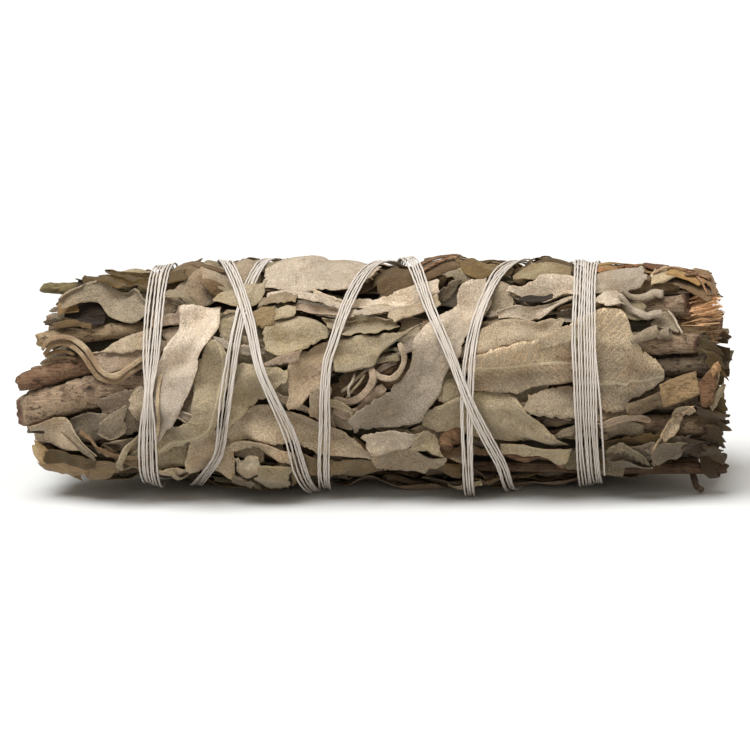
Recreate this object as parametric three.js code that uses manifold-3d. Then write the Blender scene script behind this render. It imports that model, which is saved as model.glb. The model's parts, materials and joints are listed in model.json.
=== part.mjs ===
// A hand-tied bundle of dried white sage, lying on its side.
//
// Cut stems are laid side by side with a packing of small crumpled leaves between and around them,
// larger leaves are pressed over the outside, and a white cotton thread is wound round everything:
// a band near each end, one run of thread spiralling out and one spiralling back.
//
// Millimetres and degrees. X runs along the bundle, -Y is its front and +Z is up. The origin is on the
// surface that the bundle lies on, under its middle. A place on the bundle is given by x, by the angle
// round the axis, which is 0 at the front, 90 on top and -90 underneath, and by the radius.

import * as THREE from "three";
import { mergeVertices } from "three/addons/utils/BufferGeometryUtils.js";
import Module from "manifold-3d";

const wasm = await Module();
wasm.setup();

// Driving dimensions

const AXIS_HEIGHT = 16.25; // of the bundle's axis over the surface it lies on
const FAT_RADIUS = 16.9; // over the leaves, at the thickest stretch
const FAT_FROM = -15; // the thickest stretch of the bundle
const FAT_TO = 15;
const LEFT_END = -51;
const RIGHT_END = 51;
const LEFT_SLIMMING = 4.1; // how much radius is lost between the thickest stretch and each end
const RIGHT_SLIMMING = 2.6;
const FLAT_SHARE = 0.955; // of the radius, at which the underside is pressed flat
const UNROLLED_RADIUS = 16; // turns an angle into a distance round the bundle
const VIEW_TILT = 12; // the front leaves are placed as seen from this much above level
const VIEW_TURN = 8; // and from this much towards the right end

const LEAF_COAT = 3.1; // between the packing's surface and the outside of the cover leaves
const LEAF_COAT_MORE = 0.55; // more than that where most leaves lie, and less on the other side
const MOST_LEAVES_AT = 60; // the angle
const LEAF_THICK = 0.62;
const GAP = 0.36; // between a leaf and what it lies on
const CREST_REACH = 2.1; // a leaf clears everything this near to a point of it, or nearer than half a cell

const THREAD_THICK = 0.5;
const THREAD_VALLEY = 0.28; // the thickness between two strands
const THREAD_GAP = 0.42;
const THREAD_STEP = 5; // along a run of thread
const PINCH_DEPTH = 0.7; // how far the thread draws the leaves in
const PINCH_WIDTH = 2.2;

const HOLE_CLEARANCE = 0.32; // round a stem in the packing

const TAU = Math.PI * 2;
const LAP = UNROLLED_RADIUS * TAU; // once round the bundle, unrolled
const radians = THREE.MathUtils.degToRad;
const clamp = THREE.MathUtils.clamp;

// A repeatable stream of numbers from 0 to 1.
function stream(seed) {
  let state = seed >>> 0;
  return () => {
    state = (Math.imul(state, 1664525) + 1013904223) >>> 0;
    return state / 4294967296;
  };
}

// The bundle's own shape

function outerRadius(x) {
  if (x < FAT_FROM) {
    return FAT_RADIUS - LEFT_SLIMMING * ((FAT_FROM - x) / (FAT_FROM - LEFT_END)) ** 2;
  }
  if (x > FAT_TO) {
    return FAT_RADIUS - RIGHT_SLIMMING * ((x - FAT_TO) / (RIGHT_END - FAT_TO)) ** 1.5;
  }
  return FAT_RADIUS;
}

// The packing's surface is lumpy, as the leaves in it are crumpled, and less so where it is pressed flat.
function packingRadius(x, angle) {
  const a = radians(angle);
  const coat = LEAF_COAT + LEAF_COAT_MORE * Math.cos(a - radians(MOST_LEAVES_AT));
  const lumps =
    0.35 * Math.sin(3 * a + 0.11 * x) + 0.3 * Math.sin(0.23 * x - 2 * a + 1) + 0.2 * Math.sin(7 * a - 0.16 * x);
  return outerRadius(x) - coat + lumps * (1 - 0.8 * Math.max(0, -Math.sin(a)) ** 2);
}

// The place, [x, angle], of a point that is seen so far across and so far above the bundle's middle by
// someone in front of it, where the point is at the given distance from the axis.
function seenAt([across, up], distance) {
  const angle = VIEW_TILT + THREE.MathUtils.radToDeg(Math.asin(clamp(up / distance, -0.985, 0.985)));
  return [across + distance * Math.cos(radians(angle)) * Math.sin(radians(VIEW_TURN)), angle];
}

// The thread's route

// Each run is a list of [x, turns wound], where a half turn is the underside as seen from the front and
// a whole one is the top. The winding goes down the front and up the back.
const TOP_ANGLE = VIEW_TILT + 90;
const RUN_OUT = [
  [-31, 0.46],
  [-26.6, 0.72],
  [-21.2, 1],
  [-15.2, 1.18],
  [-13.5, 1.24],
  [-9.6, 1.34],
  [-7.7, 1.5],
  [-1.6, 1.75],
  [4.9, 2],
  [9.9, 2.15],
  [14.1, 2.24],
  [19.5, 2.39],
  [20.3, 2.5],
  [24.4, 2.78],
  [30.8, 3.05],
];
const RUN_BACK = [
  [31.2, 0.46],
  [27.4, 0.72],
  [21.5, 1],
  [17, 1.18],
  [15.6, 1.3],
  [14.1, 1.5],
  [8, 1.76],
  [1.8, 2],
  [-2.7, 2.19],
  [-4.1, 2.24],
  [-4.8, 2.34],
  [-6.9, 2.5],
  [-10.4, 2.75],
  [-14.4, 3],
  [-17.7, 3.24],
  [-20.4, 3.37],
  [-25.5, 3.5],
  [-28, 3.8],
  [-30.2, 3.99],
];
const LEFT_BAND = { x: -30.7, ahead: 0.9, lean: 1.1, strands: 7 };
const RIGHT_BAND = { x: 31.3, ahead: 1.1, lean: 0, strands: 9 };
const RUN_STRANDS = 5;
const STRAND = 0.37; // a strand's width

// Points along a run, [x, s], evenly stepped, with s the unrolled distance from the front.
function runPoints(run) {
  const curve = new THREE.CatmullRomCurve3(
    run.map(([x, turns]) => new THREE.Vector3(x, UNROLLED_RADIUS * (radians(TOP_ANGLE) - turns * TAU), 0)),
    false,
    "catmullrom",
    0.35,
  );
  const steps = Math.round(curve.getLength() / THREAD_STEP);
  return curve.getSpacedPoints(steps).map((p) => [p.x, p.y]);
}

function bandPoints(band) {
  const steps = Math.round(LAP / THREAD_STEP);
  return Array.from({ length: steps }, (_, i) => {
    const s = -(i / steps) * LAP;
    const angle = s / UNROLLED_RADIUS;
    return [band.x + band.ahead * Math.cos(angle) + band.lean * Math.sin(angle), s];
  });
}

// Maps over the unrolled bundle, one number for each cell

const CELL = 0.8;
const COLUMNS = Math.ceil((RIGHT_END - LEFT_END + 8) / CELL);
const ROWS = Math.round(LAP / CELL);
const ROW_SIZE = LAP / ROWS;

const columnOf = (x) => clamp(Math.round((x - LEFT_END + 4) / CELL), 0, COLUMNS - 1);
const rowOf = (s) => ((Math.round(s / ROW_SIZE) % ROWS) + ROWS) % ROWS;
const xOfColumn = (c) => LEFT_END - 4 + c * CELL;

function makeMap(valueAt) {
  const cells = new Float64Array(COLUMNS * ROWS);
  for (let c = 0; c < COLUMNS; c++) {
    for (let r = 0; r < ROWS; r++) cells[c * ROWS + r] = valueAt(xOfColumn(c), r * ROW_SIZE);
  }
  return cells;
}

// How deep the thread pinches the bundle at each place.
const pinchMap = makeMap(() => 0);
function pinchAlong(points, closed) {
  const last = closed ? points.length : points.length - 1;
  const reach = Math.ceil((2.5 * PINCH_WIDTH) / CELL);
  for (let i = 0; i < last; i++) {
    const [xa, sa] = points[i];
    const [xb, sbRaw] = points[(i + 1) % points.length];
    const sb = closed && i === points.length - 1 ? sbRaw - LAP : sbRaw;
    for (let k = 0; k < 8; k++) {
      const x = xa + ((xb - xa) * k) / 8;
      const s = sa + ((sb - sa) * k) / 8;
      for (let dc = -reach; dc <= reach; dc++) {
        const c = clamp(columnOf(x) + dc, 0, COLUMNS - 1);
        for (let dr = -reach; dr <= reach; dr++) {
          const r = (rowOf(s) + dr + ROWS) % ROWS;
          const depth = PINCH_DEPTH * Math.exp(-((dc * dc + dr * dr) * CELL * CELL) / (2 * PINCH_WIDTH ** 2));
          pinchMap[c * ROWS + r] = Math.max(pinchMap[c * ROWS + r], depth);
        }
      }
    }
  }
}
const runOutPoints = runPoints(RUN_OUT);
const runBackPoints = runPoints(RUN_BACK);
const leftBandPoints = bandPoints(LEFT_BAND);
const rightBandPoints = bandPoints(RIGHT_BAND);
pinchAlong(runOutPoints, false);
pinchAlong(runBackPoints, false);
pinchAlong(leftBandPoints, true);
pinchAlong(rightBandPoints, true);

// The map's value at a place, blended between the four nearest cells.
function readMap(cells, x, s) {
  const cx = clamp((x - LEFT_END + 4) / CELL, 0, COLUMNS - 1.001);
  const rs = (((s / ROW_SIZE) % ROWS) + ROWS) % ROWS;
  const c = Math.floor(cx);
  const r = Math.floor(rs);
  const u = cx - c;
  const v = rs - r;
  const at = (cc, rr) => cells[cc * ROWS + (rr % ROWS)];
  return (at(c, r) * (1 - u) + at(c + 1, r) * u) * (1 - v) + (at(c, r + 1) * (1 - u) + at(c + 1, r + 1) * u) * v;
}

// How much nearer the axis the underside is pressed, as a share of the radius.
function pressed(s) {
  const under = Math.cos(s / UNROLLED_RADIUS + Math.PI / 2);
  const flat = under > 0.2 ? FLAT_SHARE / under : 9;
  return (1 + flat - Math.sqrt((1 - flat) ** 2 + 0.0006)) / 2; // the lesser of 1 and flat, rounded off
}

// A place on the bundle as a point in space: pinched by the thread and pressed flat underneath.
function place(x, s, radius) {
  const angle = s / UNROLLED_RADIUS;
  const pinched = radius - readMap(pinchMap, x, s) * clamp(radius / FAT_RADIUS, 0, 1) ** 3;
  const r = pinched * pressed(s);
  return new THREE.Vector3(x, -r * Math.cos(angle), AXIS_HEIGHT + r * Math.sin(angle));
}

// Solids

// A closed geometry from two alike grids of points, an outer and an inner one, joined round the rim.
function sheetBetween(outer, inner, rows, columns) {
  const count = rows * columns;
  const positions = [...outer, ...inner].flatMap((p) => [p.x, p.y, p.z]);
  const index = [];
  const quad = (a, b, c, d) => index.push(a, b, c, a, c, d);
  for (let i = 0; i < rows - 1; i++) {
    for (let j = 0; j < columns - 1; j++) {
      const a = i * columns + j;
      quad(a, a + columns, a + columns + 1, a + 1);
      index.push(count + a, count + a + columns + 1, count + a + columns);
      index.push(count + a, count + a + 1, count + a + columns + 1);
    }
  }
  const rim = [];
  for (let j = 0; j < columns - 1; j++) rim.push(j);
  for (let i = 0; i < rows - 1; i++) rim.push(i * columns + columns - 1);
  for (let j = columns - 1; j > 0; j--) rim.push((rows - 1) * columns + j);
  for (let i = rows - 1; i > 0; i--) rim.push(i * columns);
  rim.forEach((a, k) => {
    const b = rim[(k + 1) % rim.length];
    quad(a, b, count + b, count + a);
  });
  return geometryOf(positions, index);
}

// A closed geometry from rings of points, capped at both ends or joined into a loop.
function skinOver(rings, loop) {
  const sides = rings[0].length;
  const positions = rings.flat().flatMap((p) => [p.x, p.y, p.z]);
  const index = [];
  const spans = loop ? rings.length : rings.length - 1;
  for (let i = 0; i < spans; i++) {
    const next = (i + 1) % rings.length;
    for (let j = 0; j < sides; j++) {
      const a = i * sides + j;
      const b = i * sides + ((j + 1) % sides);
      const c = next * sides + ((j + 1) % sides);
      const d = next * sides + j;
      index.push(a, b, c, a, c, d);
    }
  }
  if (!loop) {
    for (const [ring, turned] of [[0, true], [rings.length - 1, false]]) {
      const centre = rings[ring].reduce((sum, p) => sum.add(p), new THREE.Vector3()).divideScalar(sides);
      const hub = positions.length / 3;
      positions.push(centre.x, centre.y, centre.z);
      for (let j = 0; j < sides; j++) {
        const a = ring * sides + j;
        const b = ring * sides + ((j + 1) % sides);
        index.push(hub, ...(turned ? [b, a] : [a, b]));
      }
    }
  }
  return geometryOf(positions, index);
}

function geometryOf(positions, index) {
  const geometry = new THREE.BufferGeometry();
  geometry.setAttribute("position", new THREE.Float32BufferAttribute(positions, 3));
  geometry.setIndex(index);
  return geometry;
}

function solidOf(geometry) {
  const bare = new THREE.BufferGeometry();
  bare.setAttribute("position", geometry.getAttribute("position"));
  bare.setIndex(geometry.index);
  const merged = mergeVertices(bare, 1e-4);
  const solid = new wasm.Manifold(
    new wasm.Mesh({
      numProp: 3,
      vertProperties: merged.attributes.position.array,
      triVerts: new Uint32Array(merged.index.array),
    }),
  );
  if (solid.volume() > 0) return solid;
  const turned = new Uint32Array(merged.index.array);
  for (let i = 0; i < turned.length; i += 3) [turned[i], turned[i + 1]] = [turned[i + 1], turned[i]];
  return new wasm.Manifold(
    new wasm.Mesh({ numProp: 3, vertProperties: merged.attributes.position.array, triVerts: turned }),
  );
}

// The largest piece of a solid as a geometry: a cut may leave loose scraps.
function geometryOfSolid(solid) {
  const pieces = solid.decompose();
  const largest = pieces.reduce((best, p) => (p.volume() > best.volume() ? p : best));
  const mesh = largest.getMesh();
  return geometryOf(Array.from(mesh.vertProperties), Array.from(mesh.triVerts));
}

const floorBlock = new THREE.BoxGeometry(200, 100, 20).toNonIndexed();
floorBlock.translate(0, 0, -10);
const floorSolid = solidOf(mergeVertices(stripped(floorBlock)));

function stripped(geometry) {
  const bare = new THREE.BufferGeometry();
  bare.setAttribute("position", geometry.getAttribute("position"));
  return bare;
}

// What would reach below the surface that the bundle lies on is pressed flat there.
function restOnSurface(solid) {
  return solid.boundingBox().min[2] < 0 ? solid.subtract(floorSolid) : solid;
}

// Leaves

// The radius of what has been laid on the bundle so far. Each leaf lies on it and then raises it.
const heap = makeMap((x, s) => packingRadius(x, THREE.MathUtils.radToDeg(s / UNROLLED_RADIUS)));

// The highest point of the heap within reach of a place.
function crest(x, s, reach) {
  const cells = Math.ceil(reach / CELL);
  let top = 0;
  for (let dc = -cells; dc <= cells; dc++) {
    const c = clamp(columnOf(x) + dc, 0, COLUMNS - 1);
    for (let dr = -cells; dr <= cells; dr++) {
      if ((dc * dc + dr * dr) * CELL * CELL > reach * reach) continue;
      top = Math.max(top, heap[c * ROWS + ((rowOf(s) + dr + ROWS) % ROWS)]);
    }
  }
  return top;
}

// A leaf's half-width at t, from 0 at its start to 1 at its end, as a share of its greatest.
const END_SHAPES = {
  point: (near) => 0.16 + 0.84 * Math.sin(Math.min(1, near / 0.55) * (Math.PI / 2)) ** 0.9,
  round: (near) => 0.3 + 0.7 * Math.sqrt(1 - (1 - Math.min(1, near / 0.3)) ** 2),
  torn: (near) => 0.78 + 0.22 * Math.min(1, near / 0.25),
};
function halfWidth(leaf, t) {
  const [start, end] = leaf.ends.split(" ");
  const waves = 1 + 0.09 * Math.sin(17 * t + 5 * leaf.width);
  return (leaf.width / 2) * Math.min(END_SHAPES[start](t), END_SHAPES[end](1 - t)) * waves;
}

// Where a point of a leaf lies on the unrolled bundle: t runs along the leaf, side from -1 to 1 across it.
function onLeaf(leaf, t, side) {
  const [xa, sa] = leaf.from;
  const [xb, sb] = leaf.to;
  const length = Math.hypot(xb - xa, sb - sa);
  const across = [-(sb - sa) / length, (xb - xa) / length];
  const off = leaf.bow * 4 * t * (1 - t) + side * halfWidth(leaf, t);
  const ragged = (0.7 * Math.sin(4.3 * side + 3 * leaf.width) * (2 * t - 1) ** 4) / length;
  const along = t + ragged;
  return [xa + (xb - xa) * along + across[0] * off, sa + (sb - sa) * along + across[1] * off];
}

// A leaf's solid, laid on the heap. A sunk leaf reaches down into the packing, to grow together with it.
function layLeaf(leaf, alongCells, acrossCells, sink) {
  const rows = alongCells + 1;
  const columns = acrossCells + 1;
  const [[xa, sa], [xb, sb]] = [leaf.from, leaf.to];
  const diagonal = Math.hypot(Math.hypot(xb - xa, sb - sa) / alongCells, leaf.width / acrossCells);
  const reach = Math.max(CREST_REACH, 0.55 * diagonal);
  const grid = [];
  for (let i = 0; i < rows; i++) {
    for (let j = 0; j < columns; j++) {
      const t = i / alongCells;
      const side = (2 * j) / acrossCells - 1;
      const [x, s] = onLeaf(leaf, t, side);
      const ripple = Math.max(0, 0.12 * Math.sin(9 * t + 4 * side + leaf.width) + 0.1 * side * side);
      const under = sink ? readMap(heap, x, s) : crest(x, s, reach) + GAP;
      grid.push({ x, s, under: under + ripple });
    }
  }
  const thick = leaf.thick ?? LEAF_THICK;
  const outer = grid.map((g) => place(g.x, g.s, g.under + thick));
  const inner = grid.map((g) => place(g.x, g.s, g.under - sink));
  const heightAt = (i, j) => grid[i * columns + j].under + thick;
  const fine = 6;
  for (let a = 0; a <= alongCells * fine; a++) {
    for (let b = 0; b <= acrossCells * fine; b++) {
      const t = a / (alongCells * fine);
      const i = Math.min(alongCells - 1, Math.floor(a / fine));
      const j = Math.min(acrossCells - 1, Math.floor(b / fine));
      const u = a / fine - i;
      const v = b / fine - j;
      const [x, s] = onLeaf(leaf, t, (2 * b) / (acrossCells * fine) - 1);
      const top =
        (heightAt(i, j) * (1 - u) + heightAt(i + 1, j) * u) * (1 - v) +
        (heightAt(i, j + 1) * (1 - u) + heightAt(i + 1, j + 1) * u) * v;
      const cell = columnOf(x) * ROWS + rowOf(s);
      heap[cell] = Math.max(heap[cell], top);
    }
  }
  return solidOf(sheetBetween(outer, inner, rows, columns));
}

// A leaf on the front, with both ends of its midline as seen from there.
function frontLeaf(name, from, to, width, bow, ends, tone) {
  const unrolled = (seen) => {
    const [x, angle] = seenAt(seen, outerRadius(seen[0]));
    return [x, UNROLLED_RADIUS * radians(angle)];
  };
  return { name, from: unrolled(from), to: unrolled(to), width, bow, ends, tone };
}

// The large leaves on the front, from the lowest to the topmost.
const FRONT_LEAVES = [
  frontLeaf("leaf_front_left_low", [-49.3, -7.9], [-36, -10.9], 4.6, 0, "torn torn", "grey"),
  frontLeaf("leaf_front_left_mid", [-43.5, 1.6], [-28.5, 4.6], 5, 0.4, "round torn", "pink"),
  frontLeaf("leaf_front_left_high", [-45.5, 10.2], [-30, 10.6], 4.4, 0.6, "round point", "olive"),
  frontLeaf("leaf_top_left", [-42, 13.2], [-26, 14.8], 4.6, 0, "torn point", "olive"),
  frontLeaf("leaf_front_far_right_low", [30, -8.6], [45.5, -11], 5, 0, "torn round", "grey"),
  frontLeaf("leaf_front_rolled", [-36, 6.4], [-22.5, 9.4], 4.2, 0, "torn torn", "pink"),
  frontLeaf("leaf_front_under_left", [-28, -9.5], [-19.5, -15.8], 7, 0.6, "round round", "grey"),
  frontLeaf("leaf_front_broad_low", [-21.6, -9.6], [0.4, -12], 6.4, 1.6, "round point", "grey"),
  frontLeaf("leaf_front_middle_low", [-8, -15.2], [4, -14.4], 5.6, 0, "torn round", "brown"),
  frontLeaf("leaf_front_low_right_of_middle", [-1.5, -12.4], [12.5, -12.2], 5, 0.4, "round point", "grey"),
  frontLeaf("leaf_front_purple", [-4.6, 5.2], [-12.6, -4.2], 5.6, 0, "torn torn", "pink"),
  frontLeaf("leaf_front_lumpy", [-16, 4], [-4.6, 6.4], 5.6, 0, "torn torn", "green"),
  frontLeaf("leaf_front_triangle", [-11.6, 0.9], [-21.6, -7.8], 6.6, -0.6, "torn point", "green"),
  frontLeaf("leaf_front_rough", [-7.4, 0.6], [5, 5.2], 5.6, 0, "torn torn", "green"),
  frontLeaf("leaf_front_curled_edge", [-10.5, 7.4], [4.4, 7.8], 3.6, 0, "torn torn", "green"),
  frontLeaf("leaf_front_midrib_left", [-21.6, 5], [-31.6, -10.6], 5.8, 2.2, "round point", "green"),
  frontLeaf("leaf_front_bright_left", [-22.6, 9.8], [-31, -9], 6, 0.8, "torn point", "pale"),
  frontLeaf("leaf_top_bright", [-17, 12.9], [1.6, 15.8], 5.2, 0, "point torn", "pale"),
  frontLeaf("leaf_top_rolled", [-3.4, 11.8], [14, 13.4], 3.6, 0, "torn torn", "pale"),
  frontLeaf("leaf_front_grey_right", [18.5, -3.6], [37, -6.8], 5, 0.3, "torn torn", "grey"),
  frontLeaf("leaf_front_pointed_right", [7.2, -4.6], [28, -11], 7, 1.2, "torn point", "green"),
  frontLeaf("leaf_front_upper_right", [16, 9.4], [31, 12], 4.6, 0, "torn torn", "pale"),
  frontLeaf("leaf_front_above_midrib", [12.4, 4], [28.4, 7.4], 4.8, 0.4, "torn point", "grey"),
  frontLeaf("leaf_front_midrib_right", [12.4, 0.6], [34.5, 0.4], 8.8, 0.4, "point torn", "grey"),
  frontLeaf("leaf_front_far_right", [26.4, -2.9], [42, -0.4], 10, 0.3, "round torn", "grey"),
  frontLeaf("leaf_front_big_diagonal", [16.9, 12.9], [-0.4, -8.8], 8.4, -0.8, "round torn", "pale"),
];

// The back and the underside are covered by a rule: rows of leaves along the bundle, each row a little
// further round, with their directions and sizes drawn from a seeded stream.
const BACK_ROWS = 4;
const BACK_PER_ROW = 3;
const BACK_FIRST_ANGLE = 143;
const BACK_LAST_ANGLE = 261;
function backLeaves() {
  const draw = stream(52);
  const tones = ["grey", "green", "pale", "pink", "grey", "olive"];
  const leaves = [];
  for (let row = 0; row < BACK_ROWS; row++) {
    for (let k = 0; k < BACK_PER_ROW; k++) {
      const angle = BACK_FIRST_ANGLE + ((BACK_LAST_ANGLE - BACK_FIRST_ANGLE) * row) / (BACK_ROWS - 1);
      const x = -28 + 27 * (k + (row % 2) * 0.35) + 5 * (draw() - 0.5);
      const heading = radians(28 * (draw() - 0.5)) + (draw() < 0.5 ? Math.PI : 0);
      const half = 13.5 + 4 * draw();
      const s = UNROLLED_RADIUS * radians(angle + 8 * (draw() - 0.5));
      leaves.push({
        name: `leaf_back_${row + 1}_${k + 1}`,
        from: [clamp(x - half * Math.cos(heading), -44, 45), s - half * Math.sin(heading)],
        to: [clamp(x + half * Math.cos(heading), -44, 45), s + half * Math.sin(heading)],
        width: 10 + 3 * draw(),
        bow: 3 * (draw() - 0.5),
        ends: draw() < 0.4 ? "torn point" : "round point",
        tone: tones[Math.floor(draw() * tones.length)],
        thick: LEAF_THICK + 0.16 * (row === BACK_ROWS - 1),
      });
    }
  }
  return leaves;
}

// The small leaves that grow together with the packing, seen between the large ones.
const SMALL_FRONT_LEAVES = [
  frontLeaf("", [-48.4, -11.9], [-36, -13.2], 3.2, 0, "torn torn"),
  frontLeaf("", [-42.5, -6.6], [-31, -3.6], 4, 0, "torn torn"),
  frontLeaf("", [-31.4, -13.2], [-24, -14.8], 4, 0, "torn torn"),
  frontLeaf("", [-31, 10.8], [-19.4, 14], 4, 0, "torn torn"),
  frontLeaf("", [-22.4, 12.6], [-14.6, 10.8], 4, 0, "torn round"),
  frontLeaf("", [-14.6, 9.6], [-2.6, 9.6], 2.8, 0, "torn torn"),
  frontLeaf("", [-4, 10], [4, 10], 2.8, 0, "torn torn"),
  frontLeaf("", [2.2, 7.6], [13.2, 12.4], 3.2, 0, "torn torn"),
  frontLeaf("", [11.6, 14.6], [21.8, 16.2], 4, 0, "torn torn"),
  frontLeaf("", [21, 15.4], [31, 14.6], 3.6, 0, "torn torn"),
  frontLeaf("", [30, 12.6], [40.4, 13.8], 4, 0, "torn torn"),
  frontLeaf("", [30, 7], [39, 8.6], 5, 0, "torn torn"),
  frontLeaf("", [14.4, -11.4], [28.2, -12.2], 3.6, 0, "torn torn"),
  frontLeaf("", [29.4, -7.2], [39.6, -7.6], 3, 0, "torn torn"),
];
const SMALL_BACK_ROWS = 3;
const SMALL_BACK_PER_ROW = 3;
function smallBackLeaves() {
  const draw = stream(7);
  const leaves = [];
  for (let row = 0; row < SMALL_BACK_ROWS; row++) {
    for (let k = 0; k < SMALL_BACK_PER_ROW; k++) {
      const s = UNROLLED_RADIUS * radians(118 + 56 * row + 14 * (draw() - 0.5));
      const x = -34 + 31 * (k + (row % 2) * 0.3) + 4 * (draw() - 0.5);
      const slant = 4 * (draw() - 0.5);
      leaves.push({ from: [x - 7, s - slant], to: [x + 7, s + slant], width: 5 + 3 * draw(), bow: 0, ends: "torn torn" });
    }
  }
  return leaves;
}

// Stems

// A stem on the front is [name, diameter, tone, path], and its path is [across, up, distance from the axis]
// as seen from the front, from its cut end inwards.
const STEM_SIDES = 7;
const STEM_STATIONS = 5;
const SEEN_STEMS = [
  ["stem_left_gnarled", 4.6, "bark", [[-50.9, -5.1, 10.4], [-33, -0.8, 10.2], [-12, 1.4, 9.4]]],
  ["stem_left_red", 2.9, "red", [[-50.6, -0.9, 10.7], [-39, 1.9, 9.3], [-18, 4.6, 7.8]]],
  ["stem_left_tan", 2.4, "tan", [[-47.8, 5, 11.2], [-37, 6.3, 10.4], [-14, 8, 9.4]]],
  ["stem_left_top", 1.6, "green", [[-47, 12.7, 13.3], [-41.6, 12.4, 13.2], [-22, 12, 12.6]]],
  ["stem_right_pale", 2, "tan", [[44.4, 12.3, 12.7], [35.4, 11.7, 12.4], [12, 10.8, 11.6]]],
  ["stem_right_grey", 3, "bark", [[45.5, 9.4, 11.7], [38.8, 9, 11], [10, 7.6, 9.4]]],
  ["stem_right_split", 4.6, "wood", [[48.4, 6, 7], [38, 5, 6.4], [4, 4.4, 5.4]]],
  ["stem_right_brown", 3, "bark", [[46.6, 4.1, 11.6], [37, 4.1, 11.2], [8, 3.4, 10]]],
  ["stem_right_knotted", 2.8, "bark", [[48, 1, 10.6], [40, 0.6, 9.8], [14, 0, 8.6]]],
  ["stem_right_tan", 4.4, "tan", [[46.4, -3, 11], [35.6, -3, 10.6], [12, -3.4, 9.4]]],
  ["stem_right_low", 3, "bark", [[47.4, -7.4, 11.4], [38, -7.4, 11], [10, -7, 9.6]]],
  ["stem_right_long", 1.7, "red", [[50.2, -13.6, 14.1], [33, -13.4, 14.6], [12, -13, 14.6]]],
];
// The others lie behind and within: [name, diameter, tone, path], and a path is [x, y, z from the axis].
const HIDDEN_STEMS = [
  ["stem_left_core", 4, "bark", [[-48.4, -4.2, 0.4], [-26, -3.6, 0.6], [-3, -3.2, 0.8]]],
  ["stem_left_low", 3.2, "tan", [[-47.8, -3.6, -8.6], [-30, -3.2, -8.2], [-12, -3, -7.8]]],
  ["stem_left_back_high", 3.8, "bark", [[-47.2, 4.6, 6.2], [-26, 4.2, 5.6], [-6, 3.8, 5]]],
  ["stem_left_back_low", 4.2, "red", [[-48, 4.6, -5], [-26, 4, -4.6], [-5, 3.6, -4]]],
  ["stem_right_core", 4.2, "red", [[48.6, -3.2, -2.4], [26, -2.6, -2.2], [3, -2, -2]]],
  ["stem_right_back_high", 3.8, "bark", [[49.2, 5, 6.4], [26, 4.4, 6], [5, 4, 5.4]]],
  ["stem_right_back_low", 4, "tan", [[49.6, 4.8, -4.6], [26, 4.4, -4.2], [4, 3.8, -3.8]]],
];

const seenPoint = ([across, up, distance]) => {
  const [x, angle] = seenAt([across, up], distance);
  return new THREE.Vector3(x, -distance * Math.cos(radians(angle)), distance * Math.sin(radians(angle)));
};
const makeStem = (toPoint) => ([name, diameter, tone, path]) => {
  return { name, diameter, tone, curve: new THREE.CatmullRomCurve3(path.map(toPoint)) };
};
const stems = [
  ...SEEN_STEMS.map(makeStem(seenPoint)),
  ...HIDDEN_STEMS.map(makeStem((p) => new THREE.Vector3(...p))),
];

// The stem's rings, knobbly and with a slanted cut. Grown by a clearance and a little longer, they make
// the hole that it lies in.
function stemRings({ curve, diameter }, grow) {
  const rings = [];
  const phase = curve.points[0].y;
  const last = STEM_STATIONS - 1;
  const centres = Array.from({ length: STEM_STATIONS }, (_, i) => curve.getPoint(i / last));
  const outward = centres[0].clone().sub(centres[1]).normalize();
  const inward = centres[last].clone().sub(centres[last - 1]).normalize();
  if (grow) {
    centres[0].addScaledVector(outward, 9);
    centres[last].addScaledVector(inward, 1);
  }
  for (let i = 0; i <= last; i++) {
    const t = i / last;
    const centre = centres[i];
    const swell = grow ? 1.05 : 1 + 0.05 * Math.sin(11 * t + phase);
    const radius = (diameter / 2) * (1 - 0.1 * t) * swell + grow;
    rings.push(
      Array.from({ length: STEM_SIDES }, (_, k) => {
        const a = (TAU * k) / STEM_SIDES;
        const slant = i === 0 && !grow ? 0.25 * diameter * Math.cos(a + phase) : 0;
        return new THREE.Vector3(
          centre.x + slant,
          centre.y + radius * Math.cos(a),
          AXIS_HEIGHT + centre.z + radius * Math.sin(a),
        );
      }),
    );
  }
  return rings;
}

// Leaves lie over the stems that stand out of the packing too.
function raiseOver({ curve, diameter }) {
  const radius = diameter / 2 + 0.1;
  for (let i = 0; i <= 120; i++) {
    const centre = curve.getPoint(i / 120);
    const distance = Math.hypot(centre.y, centre.z);
    const middle = Math.atan2(centre.z, -centre.y);
    const half = Math.asin(Math.min(0.95, radius / distance));
    for (let k = -8; k <= 8; k++) {
      const off = (half * k) / 8;
      const s = UNROLLED_RADIUS * (middle + off);
      const top = distance * Math.cos(off) + Math.sqrt(Math.max(0, radius ** 2 - (distance * Math.sin(off)) ** 2));
      const cell = columnOf(centre.x) * ROWS + rowOf(s);
      heap[cell] = Math.max(heap[cell], (top + readMap(pinchMap, centre.x, s)) / pressed(s));
    }
  }
}

// The packing

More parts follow.
